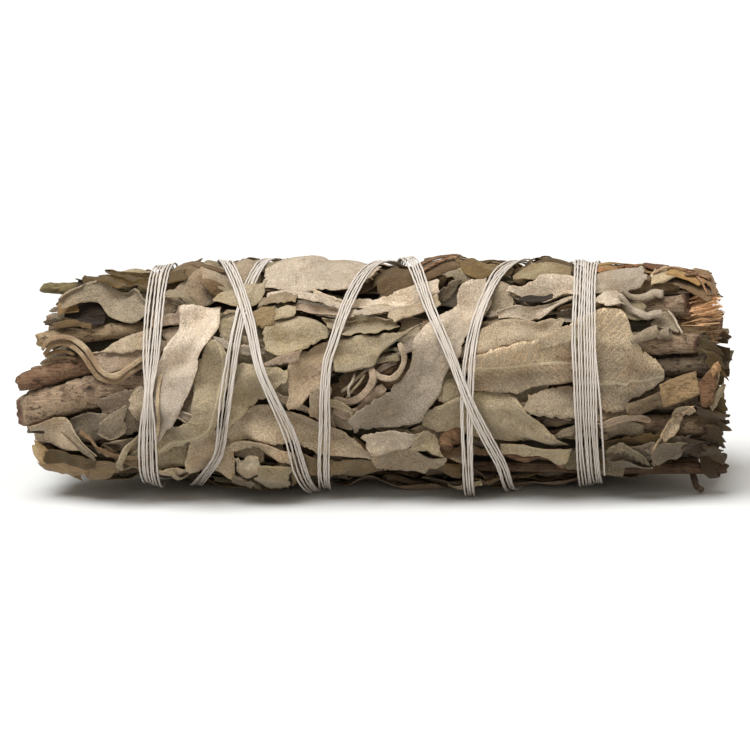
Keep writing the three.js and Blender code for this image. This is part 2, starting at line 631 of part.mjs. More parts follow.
// Rings from one end to the other. At both end faces the leaves' cut ends stand out, shell within shell,
// each leaf as wide as a few sides of the ring and some longer than others.
const PACK_SIDES = 22;
const PACK_STATIONS = 12;
const PACK_LEFT = -43.5;
const PACK_RIGHT = 45.5;
const END_SHELLS = [0.9, 0.7, 0.49, 0.28]; // shares of the packing's radius
const HALF_SHELL = 0.035;
const LEAF_SIDES = 3;
function packRing(share, xAt) {
  return Array.from({ length: PACK_SIDES }, (_, k) => {
    const x = xAt(k);
    return place(x, (LAP * k) / PACK_SIDES, packingRadius(x, (360 * k) / PACK_SIDES) * share);
  });
}
function endRings(face, way) {
  const draw = stream(23 + way);
  const rings = [];
  for (const share of END_SHELLS) {
    const first = Math.floor(LEAF_SIDES * draw());
    const lengths = Array.from({ length: PACK_SIDES }, () => 0.8 + 3.4 * draw());
    const standsOut = (k) => {
      const leaf = Math.floor((k + first) / LEAF_SIDES);
      return face + way * (lengths[leaf] + 0.5 * Math.sin(2.5 * k));
    };
    rings.push(packRing(share + 0.055, (k) => face + way * 0.4 * Math.sin(3 * k)));
    rings.push(packRing(share + HALF_SHELL, standsOut));
    rings.push(packRing(share - HALF_SHELL, standsOut));
  }
  rings.push(packRing(0.2, () => face - way));
  return rings;
}
function packingGeometry() {
  const step = (PACK_RIGHT - PACK_LEFT) / (PACK_STATIONS - 1);
  const body = Array.from({ length: PACK_STATIONS }, (_, i) => packRing(1, () => PACK_LEFT + step * i));
  return skinOver([...endRings(PACK_LEFT, -1).reverse(), ...body, ...endRings(PACK_RIGHT, 1)], false);
}

// Thread

// The heap's height under each point of a run, drawn taut over the hollows.
function threadHeights(points, halfWide, closed) {
  const under = points.map(([x, s]) => crest(x, s, halfWide + 2.2) + THREAD_GAP);
  let heights = [...under];
  for (let round = 0; round < 12; round++) {
    heights = heights.map((h, i) => {
      const before = heights[closed ? (i - 1 + heights.length) % heights.length : Math.max(0, i - 1)];
      const after = heights[closed ? (i + 1) % heights.length : Math.min(heights.length - 1, i + 1)];
      return Math.max(under[i], (before + after) / 2 - 0.12);
    });
  }
  return heights;
}

// A band of strands lying side by side: ridged on the outside, flat on the inside.
function threadSolid(points, strands, ridges, closed) {
  const wide = strands * STRAND;
  const heights = threadHeights(points, wide / 2, closed);
  const rings = points.map(([x, s], i) => {
    const before = points[closed ? (i - 1 + points.length) % points.length : Math.max(0, i - 1)];
    const after = points[closed ? (i + 1) % points.length : Math.min(points.length - 1, i + 1)];
    const run = [after[0] - before[0], after[1] - before[1]];
    if (run[1] > LAP / 2) run[1] -= LAP;
    if (run[1] < -LAP / 2) run[1] += LAP;
    const length = Math.hypot(...run);
    const across = [-run[1] / length, run[0] / length];
    const at = (off, lift) => place(x + across[0] * off, s + across[1] * off, heights[i] + lift);
    const section = [at(-wide / 2, 0)];
    for (let k = 0; k <= 2 * ridges; k++) {
      section.push(at(wide * (k / (2 * ridges) - 0.5), k % 2 ? THREAD_THICK : THREAD_VALLEY));
    }
    section.push(at(wide / 2, 0));
    return section;
  });
  return solidOf(skinOver(rings, closed));
}

// Colours

const LEAF_TONES = {
  grey: 0x9f9a86,
  green: 0x9b9a7c,
  pale: 0xbcb59c,
  pink: 0x9f8c7c,
  brown: 0x7f7360,
  olive: 0x75684a,
};
const STEM_TONES = { bark: 0x7d6a5a, red: 0x6d4632, tan: 0x9a8a68, wood: 0x9c6f48, green: 0x77704c };
const leafMaterials = Object.fromEntries(
  Object.entries(LEAF_TONES).map(([tone, color]) => [
    tone,
    new THREE.MeshStandardMaterial({ color, roughness: 0.95, metalness: 0 }),
  ]),
);
const stemMaterials = Object.fromEntries(
  Object.entries(STEM_TONES).map(([tone, color]) => [
    tone,
    new THREE.MeshStandardMaterial({ color, roughness: 0.85, metalness: 0 }),
  ]),
);
const packingMaterial = new THREE.MeshStandardMaterial({ color: 0x6f664f, roughness: 1, metalness: 0 });
const threadMaterial = new THREE.MeshStandardMaterial({ color: 0xece6dc, roughness: 0.9, metalness: 0 });

// Assembly

const bundle = new THREE.Group();
function add(name, geometry, material) {
  const mesh = new THREE.Mesh(geometry, material);
  mesh.name = name;
  bundle.add(mesh);
}

for (const stem of stems) {
  add(stem.name, geometryOfSolid(solidOf(skinOver(stemRings(stem, 0), false))), stemMaterials[stem.tone]);
  raiseOver(stem);
}

const SMALL_SINK = 1;
let packing = solidOf(packingGeometry());
const grown = [...SMALL_FRONT_LEAVES, ...smallBackLeaves()].map((leaf) => layLeaf(leaf, 3, 1, SMALL_SINK));
for (const solid of grown) packing = packing.add(solid);
for (const stem of stems) packing = packing.subtract(solidOf(skinOver(stemRings(stem, HOLE_CLEARANCE), false)));
add("packing_leaves", geometryOfSolid(restOnSurface(packing)), packingMaterial);

for (const leaf of [...backLeaves(), ...FRONT_LEAVES]) {
  const large = leaf.width > 5.2;
  const solid = layLeaf(leaf, large ? 7 : 6, large ? 4 : 3, 0);
  add(leaf.name, geometryOfSolid(restOnSurface(solid)), leafMaterials[leaf.tone]);
}

const thread = threadSolid(leftBandPoints, LEFT_BAND.strands, 4, true)
  .add(threadSolid(rightBandPoints, RIGHT_BAND.strands, 4, true))
  .add(threadSolid(runOutPoints, RUN_STRANDS, 2, false))
  .add(threadSolid(runBackPoints, RUN_STRANDS, 2, false));
add("cotton_thread", geometryOfSolid(restOnSurface(thread)), threadMaterial);

// The origin goes under the middle of everything.
const middle = new THREE.Box3().setFromObject(bundle).getCenter(new THREE.Vector3());
bundle.position.set(-middle.x, -middle.y, 0);

export default bundle;
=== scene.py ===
# %% [markdown]
# # A stick of dried white sage
#
# The object is a hand-tied bundle about 10 cm long. Cut stems and broken leaves lie side by side in it,
# larger leaves are pressed over the outside, and a white cotton thread is wound round everything.
# This file dresses the plain solids of the part with fine leaves, bark and thread. It is written as a
# lesson: a note before each step says what the real thing is like and how it is made here.

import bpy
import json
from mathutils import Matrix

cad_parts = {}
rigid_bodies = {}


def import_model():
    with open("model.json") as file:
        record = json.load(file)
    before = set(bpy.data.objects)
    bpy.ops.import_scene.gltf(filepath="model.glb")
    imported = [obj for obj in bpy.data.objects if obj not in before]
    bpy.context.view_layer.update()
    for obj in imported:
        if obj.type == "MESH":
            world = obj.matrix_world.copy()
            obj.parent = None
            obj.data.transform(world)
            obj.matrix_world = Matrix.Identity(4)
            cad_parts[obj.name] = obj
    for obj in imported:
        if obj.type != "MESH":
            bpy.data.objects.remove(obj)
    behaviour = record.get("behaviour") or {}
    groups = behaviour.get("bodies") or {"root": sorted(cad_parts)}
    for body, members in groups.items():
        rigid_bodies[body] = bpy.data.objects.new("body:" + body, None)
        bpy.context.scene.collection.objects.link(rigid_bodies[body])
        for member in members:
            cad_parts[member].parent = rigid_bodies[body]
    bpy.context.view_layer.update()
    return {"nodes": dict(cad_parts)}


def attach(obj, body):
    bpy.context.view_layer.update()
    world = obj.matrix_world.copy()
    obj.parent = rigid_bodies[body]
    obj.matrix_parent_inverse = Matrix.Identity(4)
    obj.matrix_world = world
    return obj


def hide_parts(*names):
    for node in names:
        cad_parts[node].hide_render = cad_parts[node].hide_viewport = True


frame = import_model()
print("solids in the frame:", len(frame["nodes"]))

# %% Tools
import itertools
import json
import math

import bpy
import numpy as np
from mathutils import Matrix, Vector

MM = 0.001

# %% [markdown]
# ## The bundle's own shape
#
# Every piece is placed by where it lies on the bundle: x along it, s round it and a radius. The length s
# is the way round an unrolled bundle, 0 at the front, and it grows upwards. One function turns such a
# place into a point in space, so a leaf can be drawn flat and still bend round the bundle. The underside
# is pressed flat, as the bundle lies on it.

# %% Sizes of the bundle, in millimetres
AXIS_HEIGHT = 16.25
AXIS_OFFSET = np.array([-0.469, -0.009, 0.0])
FAT_RADIUS = 16.9
FAT_FROM, FAT_TO = -15.0, 15.0
LEFT_END, RIGHT_END = -51.0, 51.0
LEFT_SLIMMING, RIGHT_SLIMMING = 4.1, 2.6
FLAT_SHARE = 0.955
UNROLLED_RADIUS = 16.0
LAP = UNROLLED_RADIUS * math.tau
LEAF_COAT, LEAF_COAT_MORE = 3.1, 0.55
MOST_LEAVES_AT = math.radians(60)


def outer_radius(x):
    """The bundle's radius over the leaves."""
    left = np.clip((FAT_FROM - x) / (FAT_FROM - LEFT_END), 0, None)
    right = np.clip((x - FAT_TO) / (RIGHT_END - FAT_TO), 0, None)
    return FAT_RADIUS - LEFT_SLIMMING * left**2 - RIGHT_SLIMMING * right**1.5


def packing_radius(x, s):
    """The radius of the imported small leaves, under the large ones."""
    a = s / UNROLLED_RADIUS
    coat = LEAF_COAT + LEAF_COAT_MORE * np.cos(a - MOST_LEAVES_AT)
    lumps = 0.35 * np.sin(3 * a + 0.11 * x) + 0.3 * np.sin(0.23 * x - 2 * a + 1) + 0.2 * np.sin(7 * a - 0.16 * x)
    return outer_radius(x) - coat + lumps * (1 - 0.8 * np.maximum(0, -np.sin(a)) ** 2)


print("radius at the ends and the middle:", [round(float(outer_radius(x)), 1) for x in (-51, 0, 51)])

# %% [markdown]
# ## Curves, random hills and maps
#
# Three helpers do most of the work. A smooth curve through a few points draws a leaf's edge or a stem.
# Smooth random hills, summed in layers, make everything a little crumpled, and a fixed seed makes them
# the same each time. A map of the unrolled bundle remembers how high the heap of leaves is, so that the
# next leaf lies on those before it, as in the hand.

# %% A smooth curve
FINE_SPANS = 24


def through(points, count, tension=0.5):
    """Evenly spaced places along a smooth curve through the points."""
    p = np.asarray(points, float)
    before = np.vstack([2 * p[0] - p[1], p[:-1]])
    after = np.vstack([p[1:], 2 * p[-1] - p[-2]])
    slope = tension * (after - before)
    t = (np.arange(FINE_SPANS) / FINE_SPANS)[:, None]
    line = []
    for i in range(len(p) - 1):
        line.append(
            (2 * t**3 - 3 * t**2 + 1) * p[i]
            + (t**3 - 2 * t**2 + t) * slope[i]
            + (3 * t**2 - 2 * t**3) * p[i + 1]
            + (t**3 - t**2) * slope[i + 1]
        )
    line = np.vstack(line + [p[-1:]])
    far = way_along(line)
    even = np.linspace(0, far[-1], count)
    return np.column_stack([np.interp(even, far, line[:, k]) for k in range(line.shape[1])])


def way_along(line):
    """How far each point of a line is from its start."""
    return np.concatenate([[0], np.cumsum(np.linalg.norm(np.diff(line, axis=0), axis=1))])


# %% Random hills
HASH = (73856093, 19349663, 83492791)
TABLE_SIZE = 4096


def hills(place, size, seed):
    """Smooth random heights from -1 to 1, whose hills are about one size apart."""
    q = np.asarray(place, float) / size + 700
    cell = np.floor(q).astype(np.int64)
    f = q - cell
    f = f * f * (3 - 2 * f)
    table = np.random.default_rng(seed).uniform(-1, 1, TABLE_SIZE)
    total = 0
    for corner in itertools.product((0, 1), repeat=q.shape[-1]):
        key = 0
        weight = 1
        for k, step in enumerate(corner):
            key = key ^ ((cell[..., k] + step) * HASH[k])
            weight = weight * (f[..., k] if step else 1 - f[..., k])
        total = total + weight * table[key % TABLE_SIZE]
    return total


def layered(place, size, seed, layers=3):
    """Hills with smaller hills on them."""
    return sum(hills(place, size / 2**k, seed + k) / 2**k for k in range(layers)) / 1.6


def soft_step(low, high, value):
    t = np.clip((value - low) / (high - low), 0, 1)
    return t * t * (3 - 2 * t)


# %% Maps of the unrolled bundle
CELL = 0.25
MARGIN = 6.0
COLUMNS = int((RIGHT_END - LEFT_END + 2 * MARGIN) / CELL) + 1
ROWS = int(round(LAP / CELL))
ROW_SIZE = LAP / ROWS
MAP_X = LEFT_END - MARGIN + CELL * np.arange(COLUMNS)[:, None]
MAP_S = ROW_SIZE * np.arange(ROWS)[None, :]


def cell_of(x, s):
    column = np.clip(np.rint((x - LEFT_END + MARGIN) / CELL).astype(int), 0, COLUMNS - 1)
    return column, np.rint(s / ROW_SIZE).astype(int) % ROWS


def read(cells, x, s):
    """The map's value at places between its cells."""
    c = np.clip((x - LEFT_END + MARGIN) / CELL, 0, COLUMNS - 1.001)
    r = (s / ROW_SIZE) % ROWS
    ci, ri = np.floor(c).astype(int), np.floor(r).astype(int) % ROWS
    u, v = c - ci, r - np.floor(r)
    rn = (ri + 1) % ROWS
    return (cells[ci, ri] * (1 - u) + cells[ci + 1, ri] * u) * (1 - v) + (
        cells[ci, rn] * (1 - u) + cells[ci + 1, rn] * u
    ) * v


def highest_near(cells, reach):
    """Each cell takes the highest value within reach, as a stiff leaf lies on crests."""
    out = cells
    for axis in (0, 1):
        best = out
        for k in range(1, int(round(reach / CELL)) + 1):
            best = np.maximum(best, np.maximum(np.roll(out, k, axis), np.roll(out, -k, axis)))
        out = best
    return out


def blurred(cells, width):
    reach = int(round(2.2 * width / CELL))
    weights = np.exp(-0.5 * (np.arange(-reach, reach + 1) * CELL / width) ** 2)
    weights /= weights.sum()
    out = cells
    for axis in (0, 1):
        out = sum(w * np.roll(out, k, axis) for k, w in zip(range(-reach, reach + 1), weights))
    return out


heap = packing_radius(MAP_X, MAP_S + 0 * MAP_X)
print("map cells:", heap.shape)

# %% [markdown]
# ## Where the thread goes
#
# The winding is known first, because it pinches the bundle and the leaves bulge between its turns. A run
# is a list of places along x with the turns wound so far: a whole number is the top of the bundle as the
# photograph shows it, and a half is its underside. Between these points the thread takes the shortest
# smooth way. A band near each end goes straight round.

# %% The thread's route
THREAD_TOP = math.radians(102)
RUN_OUT = [
    (-31, 0.46), (-26.6, 0.72), (-21.2, 1), (-15.2, 1.18), (-13.5, 1.24), (-9.6, 1.34), (-7.7, 1.5),
    (-1.6, 1.75), (4.9, 2), (9.9, 2.15), (14.1, 2.24), (19.5, 2.39), (20.3, 2.5), (24.4, 2.78), (30.8, 3.05),
]
RUN_BACK = [
    (31.2, 0.46), (27.4, 0.72), (21.5, 1), (17, 1.18), (15.6, 1.3), (14.1, 1.5), (8, 1.76), (1.8, 2),
    (-2.7, 2.19), (-4.1, 2.24), (-4.8, 2.34), (-6.9, 2.5), (-10.4, 2.75), (-14.4, 3), (-17.7, 3.24), (-20.4, 3.37),
    (-25.5, 3.5), (-28, 3.8), (-30.2, 3.99),
]
LEFT_BAND = dict(x=-30.7, ahead=0.9, lean=1.1, strands=7)
RIGHT_BAND = dict(x=31.3, ahead=1.1, lean=0.0, strands=9)
RUN_STRANDS = 5
STRAND = 0.27
RUN_PITCH = 0.335
BAND_PITCH = 0.37
THREAD_STEP = 0.5
RUN_TENSION = 0.35


def run_route(run):
    """Points [x, s] along a run of thread."""
    points = [(x, UNROLLED_RADIUS * (THREAD_TOP - turns * math.tau)) for x, turns in run]
    length = way_along(through(points, 400, RUN_TENSION))[-1]
    return through(points, int(length / THREAD_STEP) + 1, RUN_TENSION)


def band_route(band):
    """Points [x, s] once round the bundle; the last meets the first."""
    a = -np.linspace(0, math.tau, int(LAP / THREAD_STEP) + 1)[:-1]
    return np.column_stack([band["x"] + band["ahead"] * np.cos(a) + band["lean"] * np.sin(a), UNROLLED_RADIUS * a])


routes = dict(
    left_band=band_route(LEFT_BAND),
    right_band=band_route(RIGHT_BAND),
    run_back=run_route(RUN_BACK),
    run_out=run_route(RUN_OUT),
)
print("points on the routes:", {name: len(route) for name, route in routes.items()})

# %% How the thread pinches the bundle
PINCH_DEPTH = 0.85
PINCH_WIDTH = 1.7


def pinch_map():
    cells = np.zeros((COLUMNS, ROWS))
    reach = int(3 * PINCH_WIDTH / CELL)
    offsets = np.arange(-reach, reach + 1)
    dent = PINCH_DEPTH * np.exp(
        -((offsets[:, None] * CELL) ** 2 + (offsets[None, :] * CELL) ** 2) / (2 * PINCH_WIDTH**2)
    )
    for route in routes.values():
        for x, s in route:
            c, r = cell_of(np.array(x), np.array(s))
            columns = np.clip(c + offsets, 0, COLUMNS - 1)[:, None]
            rows = (r + offsets)[None, :] % ROWS
            cells[columns, rows] = np.maximum(cells[columns, rows], dent)
    return cells


pinched = pinch_map()


def pressed(s):
    """The share of its radius that a place keeps: less than 1 underneath, where the bundle is flat."""
    under = np.cos(s / UNROLLED_RADIUS + math.pi / 2)
    flat = np.where(under > 0.2, FLAT_SHARE / np.maximum(under, 0.2), 9)
    return (1 + flat - np.sqrt((1 - flat) ** 2 + 0.0006)) / 2


FLOOR_GAP = 0.21  # half the thickness of what touches the floor


def place(x, s, radius):
    """A place on the bundle as a point in space, in millimetres."""
    angle = s / UNROLLED_RADIUS
    r = (radius - read(pinched, x, s) * np.clip(radius / FAT_RADIUS, 0, 1) ** 3) * pressed(s)
    up = np.maximum(AXIS_HEIGHT + r * np.sin(angle), FLOOR_GAP)
    return np.stack([x + 0 * r, -r * np.cos(angle), up], -1) + AXIS_OFFSET


print("deepest pinch:", round(float(pinched.max()), 2), "mm")

# %% [markdown]
# ## From the photograph to the bundle
#
# What shows in the photograph is placed by where it is seen there. The picture has 7 of its points to a
# millimetre, and the camera looks 12 degrees down and 8 degrees from the right, so a point seen at a
# height above the axis lies at a known angle round the bundle.

# %% The view
PICTURE_SCALE = 7.0
MIDDLE_ACROSS, MIDDLE_DOWN = 372.0, 374.0
VIEW_TILT, VIEW_TURN = math.radians(12), math.radians(8)


def seen(points, depth=0.0):
    """Places [x, s] of points of the picture, for what lies that deep under the leaves' outside."""
    p = np.asarray(points, float)
    across = (p[:, 0] - MIDDLE_ACROSS) / PICTURE_SCALE
    up = (MIDDLE_DOWN - p[:, 1]) / PICTURE_SCALE
    radius = outer_radius(across) - depth
    angle = VIEW_TILT + np.arcsin(np.clip(up / radius, -0.985, 0.985))
    return np.column_stack([across + radius * np.cos(angle) * math.sin(VIEW_TURN), UNROLLED_RADIUS * angle])


print("the middle of the picture is at:", seen([(MIDDLE_ACROSS, MIDDLE_DOWN)]).round(2))

# %% [markdown]
# ## Meshes
#
# Each piece is a closed mesh made straight from arrays of points, which is quick and exact. Two extra
# layers of numbers travel with every point: a tint, which the material multiplies its colour by, and the
# place on the blade, which the material needs to draw veins and a pale rim.

# %% Parts and pieces


def part(points, quads, triangles=None, tint=None, blade=None):
    """A closed mesh as plain arrays, with its faces turned outwards."""
    triangles = np.zeros((0, 3), int) if triangles is None else triangles
    a, b, c, d = (points[quads[:, k]] for k in range(4))
    volume = np.einsum("ij,ij->", a, np.cross(b, c)) + np.einsum("ij,ij->", a, np.cross(c, d))
    if len(triangles):
        a, b, c = (points[triangles[:, k]] for k in range(3))
        volume += np.einsum("ij,ij->", a, np.cross(b, c))
    if volume < 0:
        quads, triangles = quads[:, ::-1], triangles[:, ::-1]
    count = len(points)
    tint = np.ones((count, 4)) if tint is None else tint
    blade = np.zeros((count, 3)) if blade is None else blade
    return dict(points=points, quads=quads, triangles=triangles, tint=tint, blade=blade)


def make_piece(name, parts, material, slot, nodes=()):
    """One object from several parts, riding on the bundle."""
    starts = np.cumsum([0] + [len(p["points"]) for p in parts])
    points = np.vstack([p["points"] for p in parts]) * MM
    quads = np.vstack([p["quads"] + s for p, s in zip(parts, starts)])
    triangles = np.vstack([p["triangles"] + s for p, s in zip(parts, starts)]).astype(int)
    mesh = bpy.data.meshes.new(name)
    mesh.vertices.add(len(points))
    mesh.vertices.foreach_set("co", points.astype(np.float32).ravel())
    corners = np.concatenate([quads.ravel(), triangles.ravel()]).astype(np.int32)
    mesh.loops.add(len(corners))
    mesh.loops.foreach_set("vertex_index", corners)
    mesh.polygons.add(len(quads) + len(triangles))
    first = np.concatenate([4 * np.arange(len(quads)), 4 * len(quads) + 3 * np.arange(len(triangles))])
    mesh.polygons.foreach_set("loop_start", first.astype(np.int32))
    mesh.polygons.foreach_set("use_smooth", np.ones(len(first), bool))
    tint = mesh.attributes.new("tint", "FLOAT_COLOR", "POINT")
    tint.data.foreach_set("color", np.vstack([p["tint"] for p in parts]).astype(np.float32).ravel())
    blade = mesh.attributes.new("blade", "FLOAT_VECTOR", "POINT")
    blade.data.foreach_set("vector", np.vstack([p["blade"] for p in parts]).astype(np.float32).ravel())
    mesh.update(calc_edges=True)
    mesh.validate()
    piece = bpy.data.objects.new(name, mesh)
    bpy.context.scene.collection.objects.link(piece)
    mesh.materials.append(material)
    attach(piece, "root")
    if nodes:
        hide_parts(*nodes)
    return piece


# %% A sheet from a grid of points


def rim_of(rows, columns):
    """The grid's outer points in order."""
    top = np.arange(columns - 1)
    right = np.arange(rows - 1) * columns + columns - 1
    bottom = (rows - 1) * columns + np.arange(columns - 1, 0, -1)
    left = np.arange(rows - 1, 0, -1) * columns
    return np.concatenate([top, right, bottom, left])


def sheet(grid, thick, tint, blade):
    """A thin closed sheet with the grid in the middle of its thickness."""
    rows, columns = grid.shape[:2]
    along = np.gradient(grid, axis=0)
    across = np.gradient(grid, axis=1)
    normal = np.cross(along, across)
    normal /= np.maximum(np.linalg.norm(normal, axis=-1, keepdims=True), 1e-9)
    half = 0.5 * thick[..., None] * normal
    points = np.concatenate([(grid + half).reshape(-1, 3), (grid - half).reshape(-1, 3)])
    count = rows * columns
    index = np.arange(count).reshape(rows, columns)
    a, b = index[:-1, :-1].ravel(), index[:-1, 1:].ravel()
    c, d = index[1:, 1:].ravel(), index[1:, :-1].ravel()
    front = np.column_stack([a, d, c, b])
    back = np.column_stack([a, b, c, d]) + count
    rim = rim_of(rows, columns)
    after = np.roll(rim, -1)
    sides = np.column_stack([rim, after, after + count, rim + count])
    quads = np.vstack([front, back, sides])
    return part(points, quads, tint=np.tile(tint.reshape(-1, 4), (2, 1)), blade=np.tile(blade.reshape(-1, 3), (2, 1)))


# %% [markdown]
# ## How a leaf is laid
#
# A dried sage leaf is a felted blade about a third of a millimetre thick. Pressed into a bundle it bends
# over what is under it, its edges curl or lift, and it is waved and creased. Cloth simulation could drape
# it, but the forms here are stiff and set, so each leaf is drawn between its two edges and its heights
# are summed: the smoothed heap under it, waves, creases, a cupped or curled edge and a lifted tip. Then
# it raises the heap for the next one.

# %% Relief of a blade
LEAF_STEP = 0.26
LEAF_THICK = 0.22
FRONT_BULGE = 1.6
MOST_OVER = 0.0  # how far leaves may rise over the outer radius at the top
NO_RIB = 40.0  # so far from its rib, a blade shows no veins
PLAIN_LEAF = dict(
    waves=0.22,  # height of its long waves
    wave_size=6.0,
    creases=0.1,  # height of its sharp creases
    crease_size=2.4,
    cup=0.12,  # how much higher its edges are than its middle
    upper_curl=None,  # (how wide, radius, 1 for upwards or -1 for under) of the edge's curl
    lower_curl=None,
    start_lift=0.0,
    end_lift=0.0,
    crumple=0.05,  # height of its small wrinkles
    wrinkles=0.06,  # height of its wrinkles along the blade
    ragged=0.16,  # how far its edges wander
    notches=0.5,  # how deep pieces are broken out of its edges
    rib=0.0,  # height of its midrib, and where it lies across the blade
    rib_at=(0.5, 0.5),
    level=None,  # how high over the outer radius it stands at least
    # fade and slope paint light and shade into a blade's colour: it is made brighter or darker towards one end and
    # towards one side, as the light falls on it.
    fade=(1.0, 1.0, 0.0, 1.0),  # its shade at the start and the end, and where along it changes
    slope=(1.0, 1.0, 0.0, 1.0),  # its shade above and below, and where across it changes
    grip=0.8,  # over how much of the heap it bridges
    sink=0.0,  # how far it is pushed down
    step=LEAF_STEP,
    thick=LEAF_THICK,
)


def curled(far, curl):
    """Where a point so far from the edge ends up when the edge is curled, and how much it rises."""
    if curl is None:
        return far, 0 * far
    wide, radius, way = curl
    turn = np.clip((wide - far) / radius, 0, 1.25 * math.pi)
    inside = far < wide
    return np.where(inside, wide - radius * np.sin(turn), far), np.where(inside, way * radius * (1 - np.cos(turn)), 0)


def ragged_ends(spots, u, v, amount, notches, seed):
    """Torn, wavy outlines: the edges wander and so do the ends."""
    along = np.gradient(spots, axis=0)
    along /= np.maximum(np.linalg.norm(along, axis=-1, keepdims=True), 1e-9)
    across = np.gradient(spots, axis=1)
    across /= np.maximum(np.linalg.norm(across, axis=-1, keepdims=True), 1e-9)
    edge = lambda k, size: hills(spots + 31 * k, size, seed + k)
    side = (2 * v - 1) ** 3
    end = (2 * u - 1) ** 5
    torn = soft_step(-0.1, 0.35, edge(8, 3.4))
    wander = amount * (0.8 * edge(1, 2.6) + 0.4 * edge(2, 0.9) + (0.15 + 1.1 * torn) * edge(5, 0.42))
    wander = wander - notches * soft_step(0.4, 0.62, edge(6, 1.9)) * (0.6 + 0.5 * edge(7, 0.5))
    tear = 2.2 * amount * (edge(3, 1.3) + 0.8 * edge(4, 0.6))
    return spots + across * (side * wander)[..., None] + along * (end * tear)[..., None]


def lay_leaf(upper, lower, tone_tint, seed, **look):
    """Lays one leaf between two edges, given as places [x, s], and raises the heap."""
    global heap
    look = {**PLAIN_LEAF, **look}
    length = max(way_along(through(upper, 60))[-1], way_along(through(lower, 60))[-1])
    rows = max(8, int(length / look["step"]))
    a = through(upper, rows + 1)
    b = through(lower, rows + 1)
    width = np.maximum(np.linalg.norm(a - b, axis=1), 0.15)[:, None]
    columns = max(5, int(width.max() / (1.4 * look["step"])))
    u = np.linspace(0, 1, rows + 1)[:, None] + np.zeros((1, columns + 1))
    v = np.linspace(0, 1, columns + 1)[None, :] + 0 * u
    above, lift_a = curled(v * width, look["upper_curl"])
    below, lift_b = curled((1 - v) * width, look["lower_curl"])
    share = np.where(v < 0.5, above / width, 1 - below / width)
    curls = np.where(v < 0.5, lift_a, lift_b)
    spots = a[:, None] * (1 - share[..., None]) + b[:, None] * share[..., None]
    spots = ragged_ends(spots, u, v, look["ragged"], look["notches"], seed)
    x, s = spots[..., 0], spots[..., 1]
    base = blurred(highest_near(heap, look["grip"]), look["grip"])
    ground = np.maximum(read(base, x, s), read(heap, x, s) + 0.03) - look["sink"]
    waves = look["waves"] * (1 + layered(spots, look["wave_size"], seed + 5))
    creases = look["creases"] * (1 - 2 * np.abs(hills(spots, look["crease_size"], seed + 9)))
    creases = creases + look["crumple"] * layered(spots, 1.3, seed + 15)
    strip = np.stack([0.2 * u * length, v * width + 40], -1)
    creases = creases + look["wrinkles"] * (hills(strip, 0.9, seed + 19) + 0.6 * hills(strip, 0.45, seed + 20))
    cup = look["cup"] * (2 * v - 1) ** 2
    tips = look["start_lift"] * np.clip(1 - u / 0.3, 0, 1) ** 2 + look["end_lift"] * np.clip(1 - (1 - u) / 0.3, 0, 1) ** 2
    rib_from, rib_to = look["rib_at"]
    rib_far = (v - rib_from - (rib_to - rib_from) * u) * width
    drawn_far = rib_far if look["rib"] else rib_far + NO_RIB
    rib = look["rib"] * np.exp(-((rib_far / 0.28) ** 2))
    under = [c[1] * 2 for c in (look["upper_curl"], look["lower_curl"]) if c and c[2] < 0]
    lean = max(under, default=0) * (v if look["lower_curl"] and look["lower_curl"][2] < 0 else 1 - v) ** 2
    height = ground + 0.5 * look["thick"] + waves + creases + cup + tips + rib + curls + lean
    ceiling = outer_radius(x) + MOST_OVER + FRONT_BULGE * (1 - np.clip(np.sin(s / UNROLLED_RADIUS), 0, 1))
    over = np.maximum(height - ceiling, 0)
    height = height - over + 0.3 * (1 - np.exp(-over / 0.3))
    height = np.maximum(height, read(heap, x, s) + 0.4 * look["thick"])
    if look["level"] is not None:
        height = np.maximum(height, outer_radius(x) + look["level"] + 0.5 * (waves + creases))
    raise_heap(x, s, height + 0.5 * look["thick"])
    far_edge = np.minimum.reduce([v * width, (1 - v) * width, u * length, (1 - u) * length])
    thick = look["thick"] * (0.35 + 0.65 * soft_step(0, 0.45, far_edge))
    tint = np.ones(u.shape + (4,))
    tint[..., :3] = tone_tint
    tint[..., :3] *= (1 + 0.1 * hills(spots, 5.0, seed + 12) + 0.07 * hills(strip, 0.8, seed + 21))[..., None]
    # Painted light and shade: the blade's colour is brightened or darkened along it by its fade and across it by its
    # slope.
    for shades, way in ((look["fade"], u), (look["slope"], v)):
        first, last, turn_from, turn_to = shades
        tint[..., :3] *= (first + (last - first) * soft_step(turn_from, turn_to, way))[..., None]
    blade = np.stack([u * length, drawn_far, far_edge], -1)
    return sheet(place(x, s, height), thick, tint, blade)


def raise_heap(x, s, top):
    """The heap is now at least as high as a grid of places, filled in between them."""
    for i in np.linspace(0, 1, 3)[:-1]:
        for j in np.linspace(0, 1, 3)[:-1]:
            mix = lambda g: (g[:-1, :-1] * (1 - i) + g[1:, :-1] * i) * (1 - j) + (g[:-1, 1:] * (1 - i) + g[1:, 1:] * i) * j
            np.maximum.at(heap, cell_of(mix(x), mix(s)), mix(top))


# %% [markdown]
# ## Materials
#
# Sage leaves are matt and felted. Their colour drifts from grey-green to straw and a dull pink, small
# dark specks sit on them, the side veins show as faint lines and the rims are paler. All of it comes from
# noise and from the blade's own layers of numbers, so no picture is needed. The finest roughness is a
# bump, because felt hairs are far smaller than a mesh can hold.

# %% A small kit for node materials


